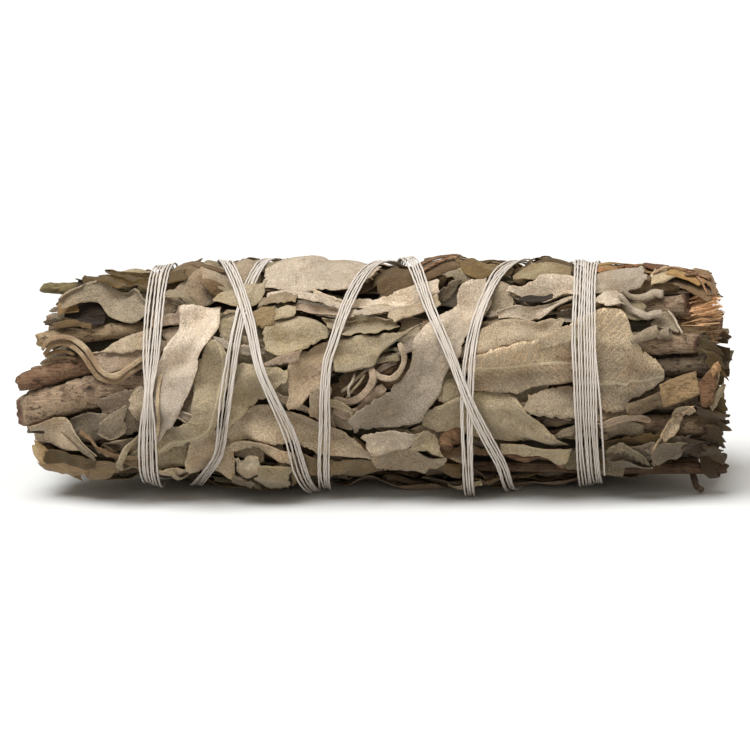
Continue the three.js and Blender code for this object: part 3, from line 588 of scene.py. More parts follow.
class Finish:
    """Builds one node material in short steps."""

    def __init__(self, name, roughness, sheen=0.0, specular=0.25):
        self.material = bpy.data.materials.new(name)
        self.material.use_nodes = True
        self.tree = self.material.node_tree
        self.surface = self.tree.nodes["Principled BSDF"]
        self.surface.inputs["Roughness"].default_value = roughness
        self.surface.inputs["Sheen Weight"].default_value = sheen
        self.surface.inputs["Specular IOR Level"].default_value = specular
        self.object_place = self.node("ShaderNodeTexCoord").outputs["Object"]

    def node(self, kind, **inputs):
        made = self.tree.nodes.new(kind)
        for key, value in inputs.items():
            self.give(made.inputs[key.replace("_", " ")], value)
        return made

    def give(self, socket, value):
        if isinstance(value, bpy.types.NodeSocket):
            self.tree.links.new(value, socket)
        else:
            socket.default_value = value

    def sum(self, kind, a, b=0.0, c=0.0, clamp=False):
        made = self.tree.nodes.new("ShaderNodeMath")
        made.operation = kind
        made.use_clamp = clamp
        for socket, value in zip(made.inputs, (a, b, c)):
            self.give(socket, value)
        return made.outputs[0]

    def noise(self, size, detail=3.0, roughness=0.55, place=None):
        """Noise with hills about one size apart, in millimetres, from 0 to 1."""
        where = self.object_place if place is None else place
        made = self.node("ShaderNodeTexNoise", Vector=where, Scale=1 / (size * MM), Detail=detail, Roughness=roughness)
        return made.outputs["Fac"]

    def spread(self, value, low, high, to_low=0.0, to_high=1.0):
        made = self.node("ShaderNodeMapRange", Value=value)
        made.interpolation_type = "SMOOTHSTEP"
        for key, number in (("From Min", low), ("From Max", high), ("To Min", to_low), ("To Max", to_high)):
            made.inputs[key].default_value = number
        return made.outputs["Result"]

    def mix(self, share, a, b, way="MIX"):
        made = self.tree.nodes.new("ShaderNodeMix")
        made.data_type = "RGBA"
        made.blend_type = way
        self.give(made.inputs["Factor"], share)
        for socket, value in ((made.inputs[6], a), (made.inputs[7], b)):
            if not isinstance(value, bpy.types.NodeSocket):
                value = (*value, 1)
            self.give(socket, value)
        return made.outputs[2]

    def layer(self, name):
        made = self.tree.nodes.new("ShaderNodeAttribute")
        made.attribute_name = name
        return made

    def stretched(self, scale):
        made = self.node("ShaderNodeMapping", Vector=self.object_place, Scale=scale)
        return made.outputs["Vector"]

    def bump(self, height, depth, under=None):
        """A bump as deep as the given millimetres."""
        made = self.node("ShaderNodeBump", Height=height, Distance=depth * MM)
        if under is not None:
            self.give(made.inputs["Normal"], under)
        return made.outputs["Normal"]

    def done(self, colour, normal):
        self.give(self.surface.inputs["Base Color"], colour)
        self.give(self.surface.inputs["Normal"], normal)
        return self.material


# %% Leaf finish
VEIN_GAP = 1.0
VEIN_SLANT = 0.85


def leaf_finish(name, colour, patch, felt=1.0, veins=0.5):
    f = Finish(name, roughness=0.92, sheen=0.12, specular=0.15)
    tint = f.layer("tint").outputs["Color"]
    where = f.node("ShaderNodeSeparateXYZ", Vector=f.layer("blade").outputs["Vector"])
    along, across, rim = (where.outputs[k] for k in range(3))
    drift = f.noise(4.5, 4)
    tone = f.mix(f.spread(drift, 0.47, 0.68), colour, patch)
    cloud = f.noise(1.3, 4, 0.65)
    tone = f.mix(f.spread(cloud, 0.3, 0.75, 0.0, 0.26), tone, (0.34, 0.28, 0.20), "MULTIPLY")
    grain = f.noise(0.26, 3, 0.7)
    tone = f.mix(f.spread(grain, 0.34, 0.66, 0.0, 0.9), tone, (1.5, 1.47, 1.36), "MULTIPLY")
    dust = f.noise(0.13, 2, 0.7)
    tone = f.mix(f.spread(dust, 0.43, 0.64, 0.0, min(1.0, 0.85 * felt)), tone, (0.45, 0.41, 0.36), "MULTIPLY")
    tone = f.mix(f.spread(dust, 0.42, 0.3, 0.0, 0.5 * felt), tone, (1.5, 1.46, 1.38), "MULTIPLY")
    blade = f.node("ShaderNodeCombineXYZ", X=f.sum("MULTIPLY", along, 0.16), Y=across, Z=f.noise(14, 1))
    fibres = f.node("ShaderNodeTexNoise", Vector=blade.outputs["Vector"], Scale=1.6, Detail=4, Roughness=0.6)
    fibres = fibres.outputs["Fac"]
    tone = f.mix(f.spread(fibres, 0.52, 0.72, 0.0, 0.35), tone, (0.6, 0.55, 0.48), "MULTIPLY")
    slanted = f.sum("SUBTRACT", along, f.sum("MULTIPLY", f.sum("ABSOLUTE", across), VEIN_SLANT))
    slanted = f.sum("ADD", slanted, f.sum("MULTIPLY", f.noise(2.2, 2), 1.6))
    beat = f.sum("PINGPONG", f.sum("DIVIDE", slanted, VEIN_GAP), 0.5)
    vein = f.spread(beat, 0.02, 0.2, 1.0, 0.0)
    midrib = f.spread(f.sum("ABSOLUTE", across), 0.1, 0.24, 1.0, 0.0)
    vein = f.sum("MULTIPLY", vein, veins)
    has_rib = f.spread(f.sum("ABSOLUTE", across), 15, 20, 1.0, 0.0)
    lines = f.sum("MULTIPLY", f.sum("MAXIMUM", vein, midrib), has_rib)
    tone = f.mix(f.sum("MULTIPLY", f.sum("MULTIPLY", vein, has_rib), 0.8), tone, (1.5, 1.44, 1.3), "MULTIPLY")
    tone = f.mix(f.sum("MULTIPLY", f.sum("MULTIPLY", midrib, has_rib), 0.55), tone, (0.5, 0.425, 0.28))
    # The blade is paler near its rim, in patches.
    pale_rim = f.spread(rim, 0.03, 0.25, 0.45, 0.0)
    tone = f.mix(f.sum("MULTIPLY", pale_rim, f.noise(1.1)), tone, (1.5, 1.35, 1.05), "MULTIPLY")
    specks = f.node("ShaderNodeTexVoronoi", Vector=f.object_place, Scale=1 / (0.9 * MM))
    near = f.spread(specks.outputs["Distance"], 0.06, 0.17, 1.0, 0.0)
    chosen = f.node("ShaderNodeSeparateColor", Color=specks.outputs["Color"]).outputs[0]
    chosen = f.spread(f.sum("ADD", chosen, f.spread(f.noise(5.0, 2), 0.5, 0.65, 0.0, 0.35)), 0.84, 0.9)
    tone = f.mix(f.sum("MULTIPLY", f.sum("MULTIPLY", near, chosen), 0.75), tone, (0.07, 0.045, 0.03))
    tone = f.mix(1.0, tone, tint, "MULTIPLY")
    pebbles = f.noise(0.7, 4, 0.65)
    height = f.sum("SUBTRACT", pebbles, f.sum("MULTIPLY", lines, 0.3))
    height = f.sum("ADD", height, f.sum("MULTIPLY", fibres, 0.9))
    normal = f.bump(height, 0.26)
    normal = f.bump(grain, 0.12, normal)
    normal = f.bump(dust, 0.06, normal)
    return f.done(tone, normal)


LEAF_TONES = dict(
    grey=((0.365, 0.295, 0.212), (0.362, 0.27, 0.182), 1.2, 0.8),
    green=((0.348, 0.286, 0.196), (0.318, 0.254, 0.154), 1.0, 0.4),
    pale=((0.49, 0.412, 0.332), (0.437, 0.352, 0.262), 1.0, 0.3),
    pink=((0.355, 0.27, 0.203), (0.32, 0.236, 0.158), 0.9, 0.2),
    brown=((0.157, 0.096, 0.048), (0.21, 0.144, 0.08), 0.8, 0.12),
    olive=((0.104, 0.066, 0.025), (0.153, 0.106, 0.046), 0.8, 0.12),
)
leaf_finishes = {tone: leaf_finish(f"sage_{tone}", *facts) for tone, facts in LEAF_TONES.items()}
print("leaf finishes:", list(leaf_finishes))

# %% Bark, cut wood and splinters


def stem_finish(name, light, dark, wood, plates):
    f = Finish(name, roughness=0.85, sheen=0.0, specular=0.2)
    tint = f.layer("tint")
    fibres = f.noise(1.0, 5, 0.7, f.stretched((0.22, 3.0, 3.0)))
    blotch = f.noise(2.6, 4, 0.6)
    bark = f.mix(f.spread(fibres, 0.34, 0.66, 0.12, 0.9), dark, light)
    bark = f.mix(f.spread(blotch, 0.47, 0.66, 0.0, 0.45 * plates), bark, (0.4, 0.3, 0.185))
    mottle = f.noise(0.8, 4, 0.65)
    bark = f.mix(f.spread(mottle, 0.5, 0.66, 0.0, 0.5), bark, (0.5, 0.46, 0.44), "MULTIPLY")
    wander = f.tree.nodes.new("ShaderNodeVectorMath")
    wander.operation = "MULTIPLY_ADD"
    f.give(wander.inputs[0], f.node("ShaderNodeTexNoise", Vector=f.object_place, Scale=1 / (0.9 * MM)).outputs["Color"])
    wander.inputs[1].default_value = (2.4 * MM, 2.4 * MM, 2.4 * MM)
    f.give(wander.inputs[2], f.stretched((0.6, 1.0, 1.0)))
    cells = f.node("ShaderNodeTexVoronoi", Vector=wander.outputs[0], Scale=1 / (1.7 * MM))
    kind = f.node("ShaderNodeSeparateColor", Color=cells.outputs["Color"]).outputs[0]
    bark = f.mix(f.spread(kind, 0.66, 0.8, 0.0, 0.3 * plates), bark, (0.42, 0.33, 0.23))
    bark = f.mix(f.spread(kind, 0.2, 0.34, 0.45 * plates, 0.0), bark, (0.13, 0.085, 0.066))
    crack = f.spread(f.noise(1.0, 5, 0.75, f.stretched((0.7, 1.8, 1.8))), 0.38, 0.43, 1.0, 0.0)
    grit = f.noise(0.22, 3, 0.7)
    bark = f.mix(f.spread(grit, 0.35, 0.65, 0.0, 0.8), bark, (1.5, 1.45, 1.35), "MULTIPLY")
    bark = f.mix(1.0, bark, (0.82, 0.8, 0.78), "MULTIPLY")
    bark = f.mix(f.sum("MULTIPLY", crack, 0.75), bark, (0.05, 0.032, 0.022))
    rings = f.noise(0.3, 4, 0.7, f.stretched((0.5, 1.0, 1.0)))
    cut = f.mix(f.spread(rings, 0.3, 0.75), wood, tuple(0.45 * c for c in wood))
    tone = f.mix(tint.outputs["Alpha"], bark, cut)
    tone = f.mix(1.0, tone, tint.outputs["Color"], "MULTIPLY")
    height = f.sum("SUBTRACT", fibres, f.sum("MULTIPLY", crack, 0.8))
    height = f.sum("ADD", height, f.sum("MULTIPLY", kind, 0.5 * plates))
    normal = f.bump(height, 0.3)
    normal = f.bump(grit, 0.12, normal)
    return f.done(tone, normal)


STEM_TONES = dict(
    bark=((0.38, 0.288, 0.2), (0.15, 0.096, 0.066), (0.22, 0.125, 0.08), 1.0),
    red=((0.25, 0.147, 0.09), (0.085, 0.044, 0.026), (0.2, 0.115, 0.07), 0.3),
    tan=((0.34, 0.26, 0.165), (0.18, 0.125, 0.078), (0.38, 0.26, 0.14), 0.4),
    wood=((0.34, 0.205, 0.12), (0.13, 0.07, 0.04), (0.74, 0.45, 0.22), 0.3),
    green=((0.22, 0.18, 0.09), (0.09, 0.07, 0.035), (0.34, 0.26, 0.14), 0.3),
)
stem_finishes = {tone: stem_finish(f"stem_{tone}", *facts) for tone, facts in STEM_TONES.items()}


def cotton_finish():
    f = Finish("cotton", roughness=0.8, sheen=0.25, specular=0.25)
    tint = f.layer("tint").outputs["Color"]
    soil = f.noise(3.0, 4)
    tone = f.mix(f.spread(soil, 0.45, 0.75), (0.64, 0.575, 0.51), (0.54, 0.475, 0.40))
    tone = f.mix(1.0, tone, tint, "MULTIPLY")
    return f.done(tone, f.bump(f.noise(0.12, 3, 0.7), 0.04))


cotton = cotton_finish()

# %% [markdown]
# ## Stems
#
# The sticks in the bundle are cut stems, 2 to 5 mm thick. The bark is ridged along the stem, has knots
# where leaves grew and comes off in flakes, and the cut is slanted and shows paler wood with a dark pith.
# A curve with a bevel would give a smooth rod, so each stem is a skin of rings whose radius is moved in
# and out. The rings are close together near the cut, where they are seen, and wide apart inside.

# %% Sizes and paths of the stems
# Where a stem is seen: name, diameter, tone, and its path as [across, up, distance from the axis].
SEEN_STEMS = [
    ("stem_left_gnarled", 4.6, "bark", [(-50.9, -5.1, 10.4), (-33, -0.8, 10.2), (-12, 1.4, 9.4)]),
    ("stem_left_red", 2.9, "red", [(-50.6, -0.9, 10.7), (-39, 1.9, 9.3), (-18, 4.6, 7.8)]),
    ("stem_left_tan", 2.4, "tan", [(-47.8, 5, 11.2), (-37, 6.3, 10.4), (-14, 8, 9.4)]),
    ("stem_left_top", 1.6, "green", [(-47, 12.7, 13.3), (-41.6, 12.4, 13.2), (-22, 12, 12.6)]),
    ("stem_right_pale", 2, "tan", [(44.4, 12.3, 12.7), (35.4, 11.7, 12.4), (12, 10.8, 11.6)]),
    ("stem_right_grey", 3, "bark", [(45.5, 9.4, 11.7), (38.8, 9, 11), (10, 7.6, 9.4)]),
    ("stem_right_split", 4.6, "wood", [(48.4, 6, 7), (38, 5, 6.4), (4, 4.4, 5.4)]),
    ("stem_right_brown", 3, "bark", [(46.6, 4.1, 11.6), (37, 4.1, 11.2), (8, 3.4, 10)]),
    ("stem_right_knotted", 2.8, "bark", [(48, 1, 10.6), (40, 0.6, 9.8), (14, 0, 8.6)]),
    ("stem_right_tan", 4.4, "tan", [(46.4, -3, 11), (35.6, -3, 10.6), (12, -3.4, 9.4)]),
    ("stem_right_low", 3, "bark", [(47.4, -7.4, 11.4), (38, -7.4, 11), (10, -7, 9.6)]),
    ("stem_right_long", 1.7, "red", [(50.2, -13.6, 14.1), (33, -13.4, 14.6), (12, -13, 14.6)]),
]
# The stems behind and within have a path of [x, y, height over the axis].
HIDDEN_STEMS = [
    ("stem_left_core", 4, "bark", [(-48.4, -4.2, 0.4), (-26, -3.6, 0.6), (-3, -3.2, 0.8)]),
    ("stem_left_low", 3.2, "tan", [(-47.8, -3.6, -8.6), (-30, -3.2, -8.2), (-12, -3, -7.8)]),
    ("stem_left_back_high", 3.8, "bark", [(-47.2, 4.6, 6.2), (-26, 4.2, 5.6), (-6, 3.8, 5)]),
    ("stem_left_back_low", 4.2, "red", [(-48, 4.6, -5), (-26, 4, -4.6), (-5, 3.6, -4)]),
    ("stem_right_core", 4.2, "red", [(48.6, -3.2, -2.4), (26, -2.6, -2.2), (3, -2, -2)]),
    ("stem_right_back_high", 3.8, "bark", [(49.2, 5, 6.4), (26, 4.4, 6), (5, 4, 5.4)]),
    ("stem_right_back_low", 4, "tan", [(49.6, 4.8, -4.6), (26, 4.4, -4.2), (4, 3.8, -3.8)]),
]
# The form of the bark: its ridges, its loose plates, its knots as [way from the cut, angle, size].
# A stem's shade multiplies its bark's colour. On stem_left_tan it is painted light over the shadow of the curled leaf
# above it; on stem_right_pale it is the stem's own pale colour and painted light over the shadow of the leaf strips
# above it. The shades under 1 on the stems of the right end are partly their own darker colour and partly painted
# shade.
BARK = dict(
    stem_left_gnarled=dict(
        ridges=0.16, plates=0.26, flare=-0.34, knots=[(7.3, 52, 1.0), (11.5, 20, 1.3), (13, 75, 1.1), (16.5, 45, 1.5), (3.9, -20, 0.6)]
    ),
    stem_left_red=dict(ridges=0.05, plates=0.04, knots=[(8.4, 40, 1.2)]),
    stem_left_tan=dict(ridges=0.03, plates=0.03, shade=1.2, knots=[(10.6, 60, 0.8)]),
    stem_right_pale=dict(ridges=0.05, plates=0.05, flare=0.05, shade=2.3, knots=[]),
    stem_right_grey=dict(ridges=0.26, plates=0.05, flare=0.14, knots=[]),
    stem_right_brown=dict(ridges=0.12, plates=0.25, shade=0.95, knots=[(4.6, 70, 1.2), (1.6, 40, 0.9)]),
    stem_right_knotted=dict(ridges=0.05, plates=0.06, flare=0.06, shade=0.36, knots=[(5.2, 80, 0.9)]),
    stem_right_tan=dict(shade=0.36),
    stem_right_low=dict(ridges=0.08, plates=0.08, shade=0.9),
    stem_right_long=dict(ridges=0.04, plates=0.04, shade=0.48),
    stem_right_split=dict(ridges=0.3, plates=0.2, knots=[]),
)
PLAIN_BARK = dict(ridges=0.12, plates=0.14, flare=-0.22, shade=1.0, knots=[(5, 90, 0.9), (12, 200, 1.0)])


def seen_path(path):
    across, up, distance = np.array(path, float).T
    angle = VIEW_TILT + np.arcsin(up / distance)
    x = across + distance * np.cos(angle) * math.sin(VIEW_TURN)
    return np.column_stack([x, -distance * np.cos(angle), distance * np.sin(angle)])


STEMS = [(name, wide, tone, seen_path(path)) for name, wide, tone, path in SEEN_STEMS]
STEMS += [(name, wide, tone, np.array(path, float)) for name, wide, tone, path in HIDDEN_STEMS]
print("stems:", len(STEMS))

# %% A stem's skin
STEM_SIDES = 30
FINE_STEM = 19.0
CAP_SHARES = (0.86, 0.66, 0.44, 0.22, 0.08)


def stem_stations(length):
    """Ways along a stem: close together near its cut and wide apart inside."""
    fine = np.arange(0, FINE_STEM, 0.32)
    return np.concatenate([fine, np.linspace(FINE_STEM, length, 12)])


def stem_part(name, wide, path, seed):
    look = {**PLAIN_BARK, **BARK.get(name, {})}
    line = through(path, 300)
    far = way_along(line)
    stations = stem_stations(far[-1])
    centre = np.column_stack([np.interp(stations, far, line[:, k]) for k in range(3)])
    ahead = np.gradient(centre, axis=0)
    ahead /= np.linalg.norm(ahead, axis=1, keepdims=True)
    side = np.cross(ahead, [0, 0, 1.0])
    side *= -np.sign(side[:, 1:2]) / np.linalg.norm(side, axis=1, keepdims=True)
    up = np.cross(ahead, side) * np.sign(np.cross(ahead, side)[:, 2:])
    a = np.linspace(0, math.tau, STEM_SIDES + 1)[:-1][None, :]
    l = stations[:, None]
    radius = 0.5 * wide * (1 - 0.1 * l / far[-1]) * (1 + 0.05 * hills(np.stack([l + 0 * a, 0 * l * a], -1), 7, seed))
    wrap = np.stack([l + 0 * a, wide * 0.5 * np.cos(a) + 0 * l, wide * 0.5 * np.sin(a) + 0 * l], -1)
    grain = wrap * (0.22, 1.3, 1.3)
    radius = radius + look["ridges"] * layered(grain, 1.0, seed + 1)
    radius = radius + look["plates"] * soft_step(0.02, 0.2, layered(wrap, 2.2, seed + 4) * 0.9)
    radius = radius * (1 + look["flare"] * np.exp(-l / (0.6 if look["flare"] < 0 else 1.2)))
    hollows = np.zeros_like(radius)
    for way, angle, size in look["knots"]:
        around = wide * 0.5 * (np.angle(np.exp(1j * (a - math.radians(angle)))))
        gap = ((l - way) ** 2 + around**2) / (0.5 * size) ** 2
        radius = radius + 0.34 * size * np.exp(-0.55 * gap) - 0.5 * size * np.exp(-2.6 * gap)
        hollows = np.maximum(hollows, np.exp(-1.4 * gap))
    slant = 0.5 * wide * 0.3 * np.cos(a + seed) * np.exp(-l / (0.6 * wide))
    torn = 0.3 * hills(wrap * (0.2, 1, 1), 0.7, seed + 7) * np.exp(-l / 0.7)
    skin = centre[:, None] + ahead[:, None] * (slant + torn)[..., None]
    skin = skin + radius[..., None] * (side[:, None] * np.cos(a)[..., None] + up[:, None] * np.sin(a)[..., None])
    rings = [skin[::-1]]
    hub = skin[0].mean(0)
    for share in CAP_SHARES:
        ring = hub + (skin[0] - hub) * share
        rough = 0.14 * hills(ring, 0.5, seed + 8) - 0.3 * (share < 0.3) * wide / 4
        rings.append((ring - ahead[0] * rough[..., None])[None])
    rings = np.vstack(rings)
    tint = np.ones(rings.shape[:2] + (4,))
    tint[: len(skin), :, 3] = (soft_step(0.35, 0.0, stations)[::-1])[:, None]
    tint[len(skin) :, :, :3] *= np.array([1, 1.0, 0.9, 0.7, 0.45])[:, None, None]
    # Painted shade: the bark is darkened in the hollows of its knots.
    shade = ((1 + 0.16 * layered(wrap, 3, seed + 9)) * (1 - 0.8 * hollows))[::-1]
    tint[: len(skin), :, :3] *= shade[..., None]
    # The stem's shade: painted light on some stems and painted shade on others, as listed in BARK.
    tint[..., :3] *= look["shade"]
    return tube_part(rings + np.array([0, 0, AXIS_HEIGHT]) + AXIS_OFFSET, tint)


def tube_part(rings, tint, blade=None):
    """A closed mesh from rings of points, with a point in the middle of both ends."""
    count, sides = rings.shape[:2]
    index = np.arange(count * sides).reshape(count, sides)
    around = np.roll(index, -1, axis=1)
    quads = np.stack([index[:-1], around[:-1], around[1:], index[1:]], -1).reshape(-1, 4)
    points = np.vstack([rings.reshape(-1, 3), rings[0].mean(0), rings[-1].mean(0)])
    first, last = count * sides, count * sides + 1
    caps = [np.column_stack([np.full(sides, first), around[0], index[0]])]
    caps.append(np.column_stack([np.full(sides, last), index[-1], around[-1]]))
    tint = np.vstack([tint.reshape(-1, 4), tint[0].mean(0), tint[-1].mean(0)])
    if blade is not None:
        blade = np.vstack([blade.reshape(-1, 3), blade[0].mean(0), blade[-1].mean(0)])
    return part(points, quads, np.vstack(caps), tint, blade)


# %% Making the stems


def raise_over_stem(wide, path):
    """What lies over a stem is lifted by it."""
    line = through(path, 500)
    distance = np.hypot(line[:, 1], line[:, 2])[:, None]
    middle = np.arctan2(line[:, 2], -line[:, 1])[:, None]
    radius = wide / 2 + 0.1
    off = np.arcsin(np.minimum(0.95, radius / distance)) * np.linspace(-1, 1, 25)[None, :]
    s = UNROLLED_RADIUS * (middle + off)
    x = line[:, :1] + 0 * s
    top = distance * np.cos(off) + np.sqrt(np.maximum(0, radius**2 - (distance * np.sin(off)) ** 2))
    top = (top + read(pinched, x, s)) / pressed(s)
    np.maximum.at(heap, cell_of(x, s), top)


for number, (name, wide, tone, path) in enumerate(STEMS):
    skin = stem_part(name, wide, path, 100 + 10 * number)
    make_piece(f"{name}_bark", [skin], stem_finishes[tone], f"stem_{tone}", [name])
    raise_over_stem(wide, path)
print("stems made:", len(STEMS))

# %% [markdown]
# ## The packing
#
# Under the large leaves and at both end faces the bundle is packed with broken leaves. A lumpy core
# closes it, so that no light comes through; its near-black colour is painted shade for the deepest gaps.
# Over the core lie crumpled fragments, drawn from a seeded stream, mostly along the bundle, and darkened
# as painted shade. They show only in the gaps, and there they make the depth.

# %% The dark core
CORE_DEPTH = 0.9
CORE_LEFT, CORE_RIGHT = -43.0, 45.0
CORE_ENDS = (0.9, 0.7, 0.45, 0.2)


def core_part():
    x = np.linspace(CORE_LEFT, CORE_RIGHT, 64)[:, None]
    s = np.linspace(0, LAP, 101)[:-1][None, :]
    spots = np.stack([x + 0 * s, 0 * x + s], -1)
    at_ends = soft_step(28, 38, np.abs(x))
    radius = packing_radius(x, s) - CORE_DEPTH - 1.7 * at_ends + 0.35 * layered(spots, 3.0, 11)
    body = place(x, s, radius)
    rings = [body]
    for ring, way in ((body[0], -1), (body[-1], 1)):
        hub = ring.mean(0)
        caps = [hub + (ring - hub) * share + [way * 0.6 * (1 - share), 0, 0] for share in CORE_ENDS]
        rings = [np.array(caps[::-1])] + rings if way < 0 else rings + [np.array(caps)]
    rings = np.vstack(rings)
    tint = np.ones(rings.shape[:2] + (4,))
    # Painted shade: the core is near black, for the deepest gaps between the leaves.
    tint[..., :3] = 0.16
    return tube_part(rings, tint)


# %% Fragments under the leaves
FRAGMENTS = 240
FRAGMENT_TONES = ("olive", "brown", "grey", "olive", "green", "brown")


def edges_round(x, s, length, width, heading, bow, ends=(0.5, 0.5)):
    """The two edges of a plain leaf from its middle, length, width and heading."""
    t = np.linspace(-0.5, 0.5, 6)
    half = 0.5 * width * np.minimum(1, np.minimum(ends[0] + 2.6 * (t + 0.5), ends[1] + 2.6 * (0.5 - t)))
    along = np.array([math.cos(heading), math.sin(heading)])
    aside = np.array([-along[1], along[0]])
    line = np.array([x, s]) + t[:, None] * length * along + (bow * (1 - 4 * t**2))[:, None] * aside
    return line + half[:, None] * aside, line - half[:, None] * aside


def stems_show(x, s):
    """Whether the place is where the stems lie bare at the front of both ends."""
    angle = (s / UNROLLED_RADIUS + math.pi) % math.tau - math.pi
    by_long_stem = x > 24 and math.radians(-70) < angle < math.radians(-42)
    left_stems = x < -31 and math.radians(-22) < angle < math.radians(62)
    right_stems = x > 34 and math.radians(-22) < angle < math.radians(96)
    return by_long_stem or left_stems or right_stems


def lay_fragments(count, seed, x_range, s_range, tones, length=(5, 12), width=(2, 4.6), shade=(0.45, 0.8), **look):
    """Small leaves at random places; returns their parts by tone."""
    draw = np.random.default_rng(seed)
    made = {tone: [] for tone in tones}
    for k in range(count):
        x, s = draw.uniform(*x_range), draw.uniform(*s_range)
        heading = draw.normal(0, 0.45)
        if stems_show(x, s):
            continue
        edges = edges_round(
            x, s, draw.uniform(*length), draw.uniform(*width), heading, draw.uniform(-1, 1), draw.uniform(0.1, 0.8, 2)
        )
        tone = tones[draw.integers(len(tones))]
        curl = (draw.uniform(0.5, 1.4), draw.uniform(0.3, 0.6), 1) if draw.random() < 0.45 else None
        made[tone].append(
            lay_leaf(*edges, draw.uniform(*shade), seed * 1000 + 20 * k, **{**dict(upper_curl=curl, ragged=0.25), **look})
        )
    return made


WHOLE_LAP = (0.0, LAP)
# The shade of 0.4 to 0.8 darkens the fragments as painted shade, for the gaps where they show.
fragments = lay_fragments(
    FRAGMENTS, 31, (-43, 45), WHOLE_LAP, FRAGMENT_TONES, shade=(0.4, 0.8), step=0.65, waves=0.3, creases=0.25, cup=0.3, grip=0.6, sink=0.25
)
loose = {tone: list(parts) for tone, parts in fragments.items()}
print("fragments:", sum(len(parts) for parts in fragments.values()))

# %% [markdown]
# ## The leaves of the front
#
# Each leaf seen in the photograph is drawn by its upper and its lower edge, with only as many points as
# its outline needs. The list goes from the lowest leaf to the topmost. Small ones lie among the large:
# they have no solid of their own in the part, and are joined by tone.

# %% Drawing a leaf by its edges


def small(tone, shade, upper, lower, **look):
    return dict(tone=tone, shade=shade, upper=upper, lower=lower, look=look)


def cover(node, tone, shade, upper, lower, **look):
    return dict(node=node, tone=tone, shade=shade, upper=upper, lower=lower, look=look)


UP = 1
UNDER = -1

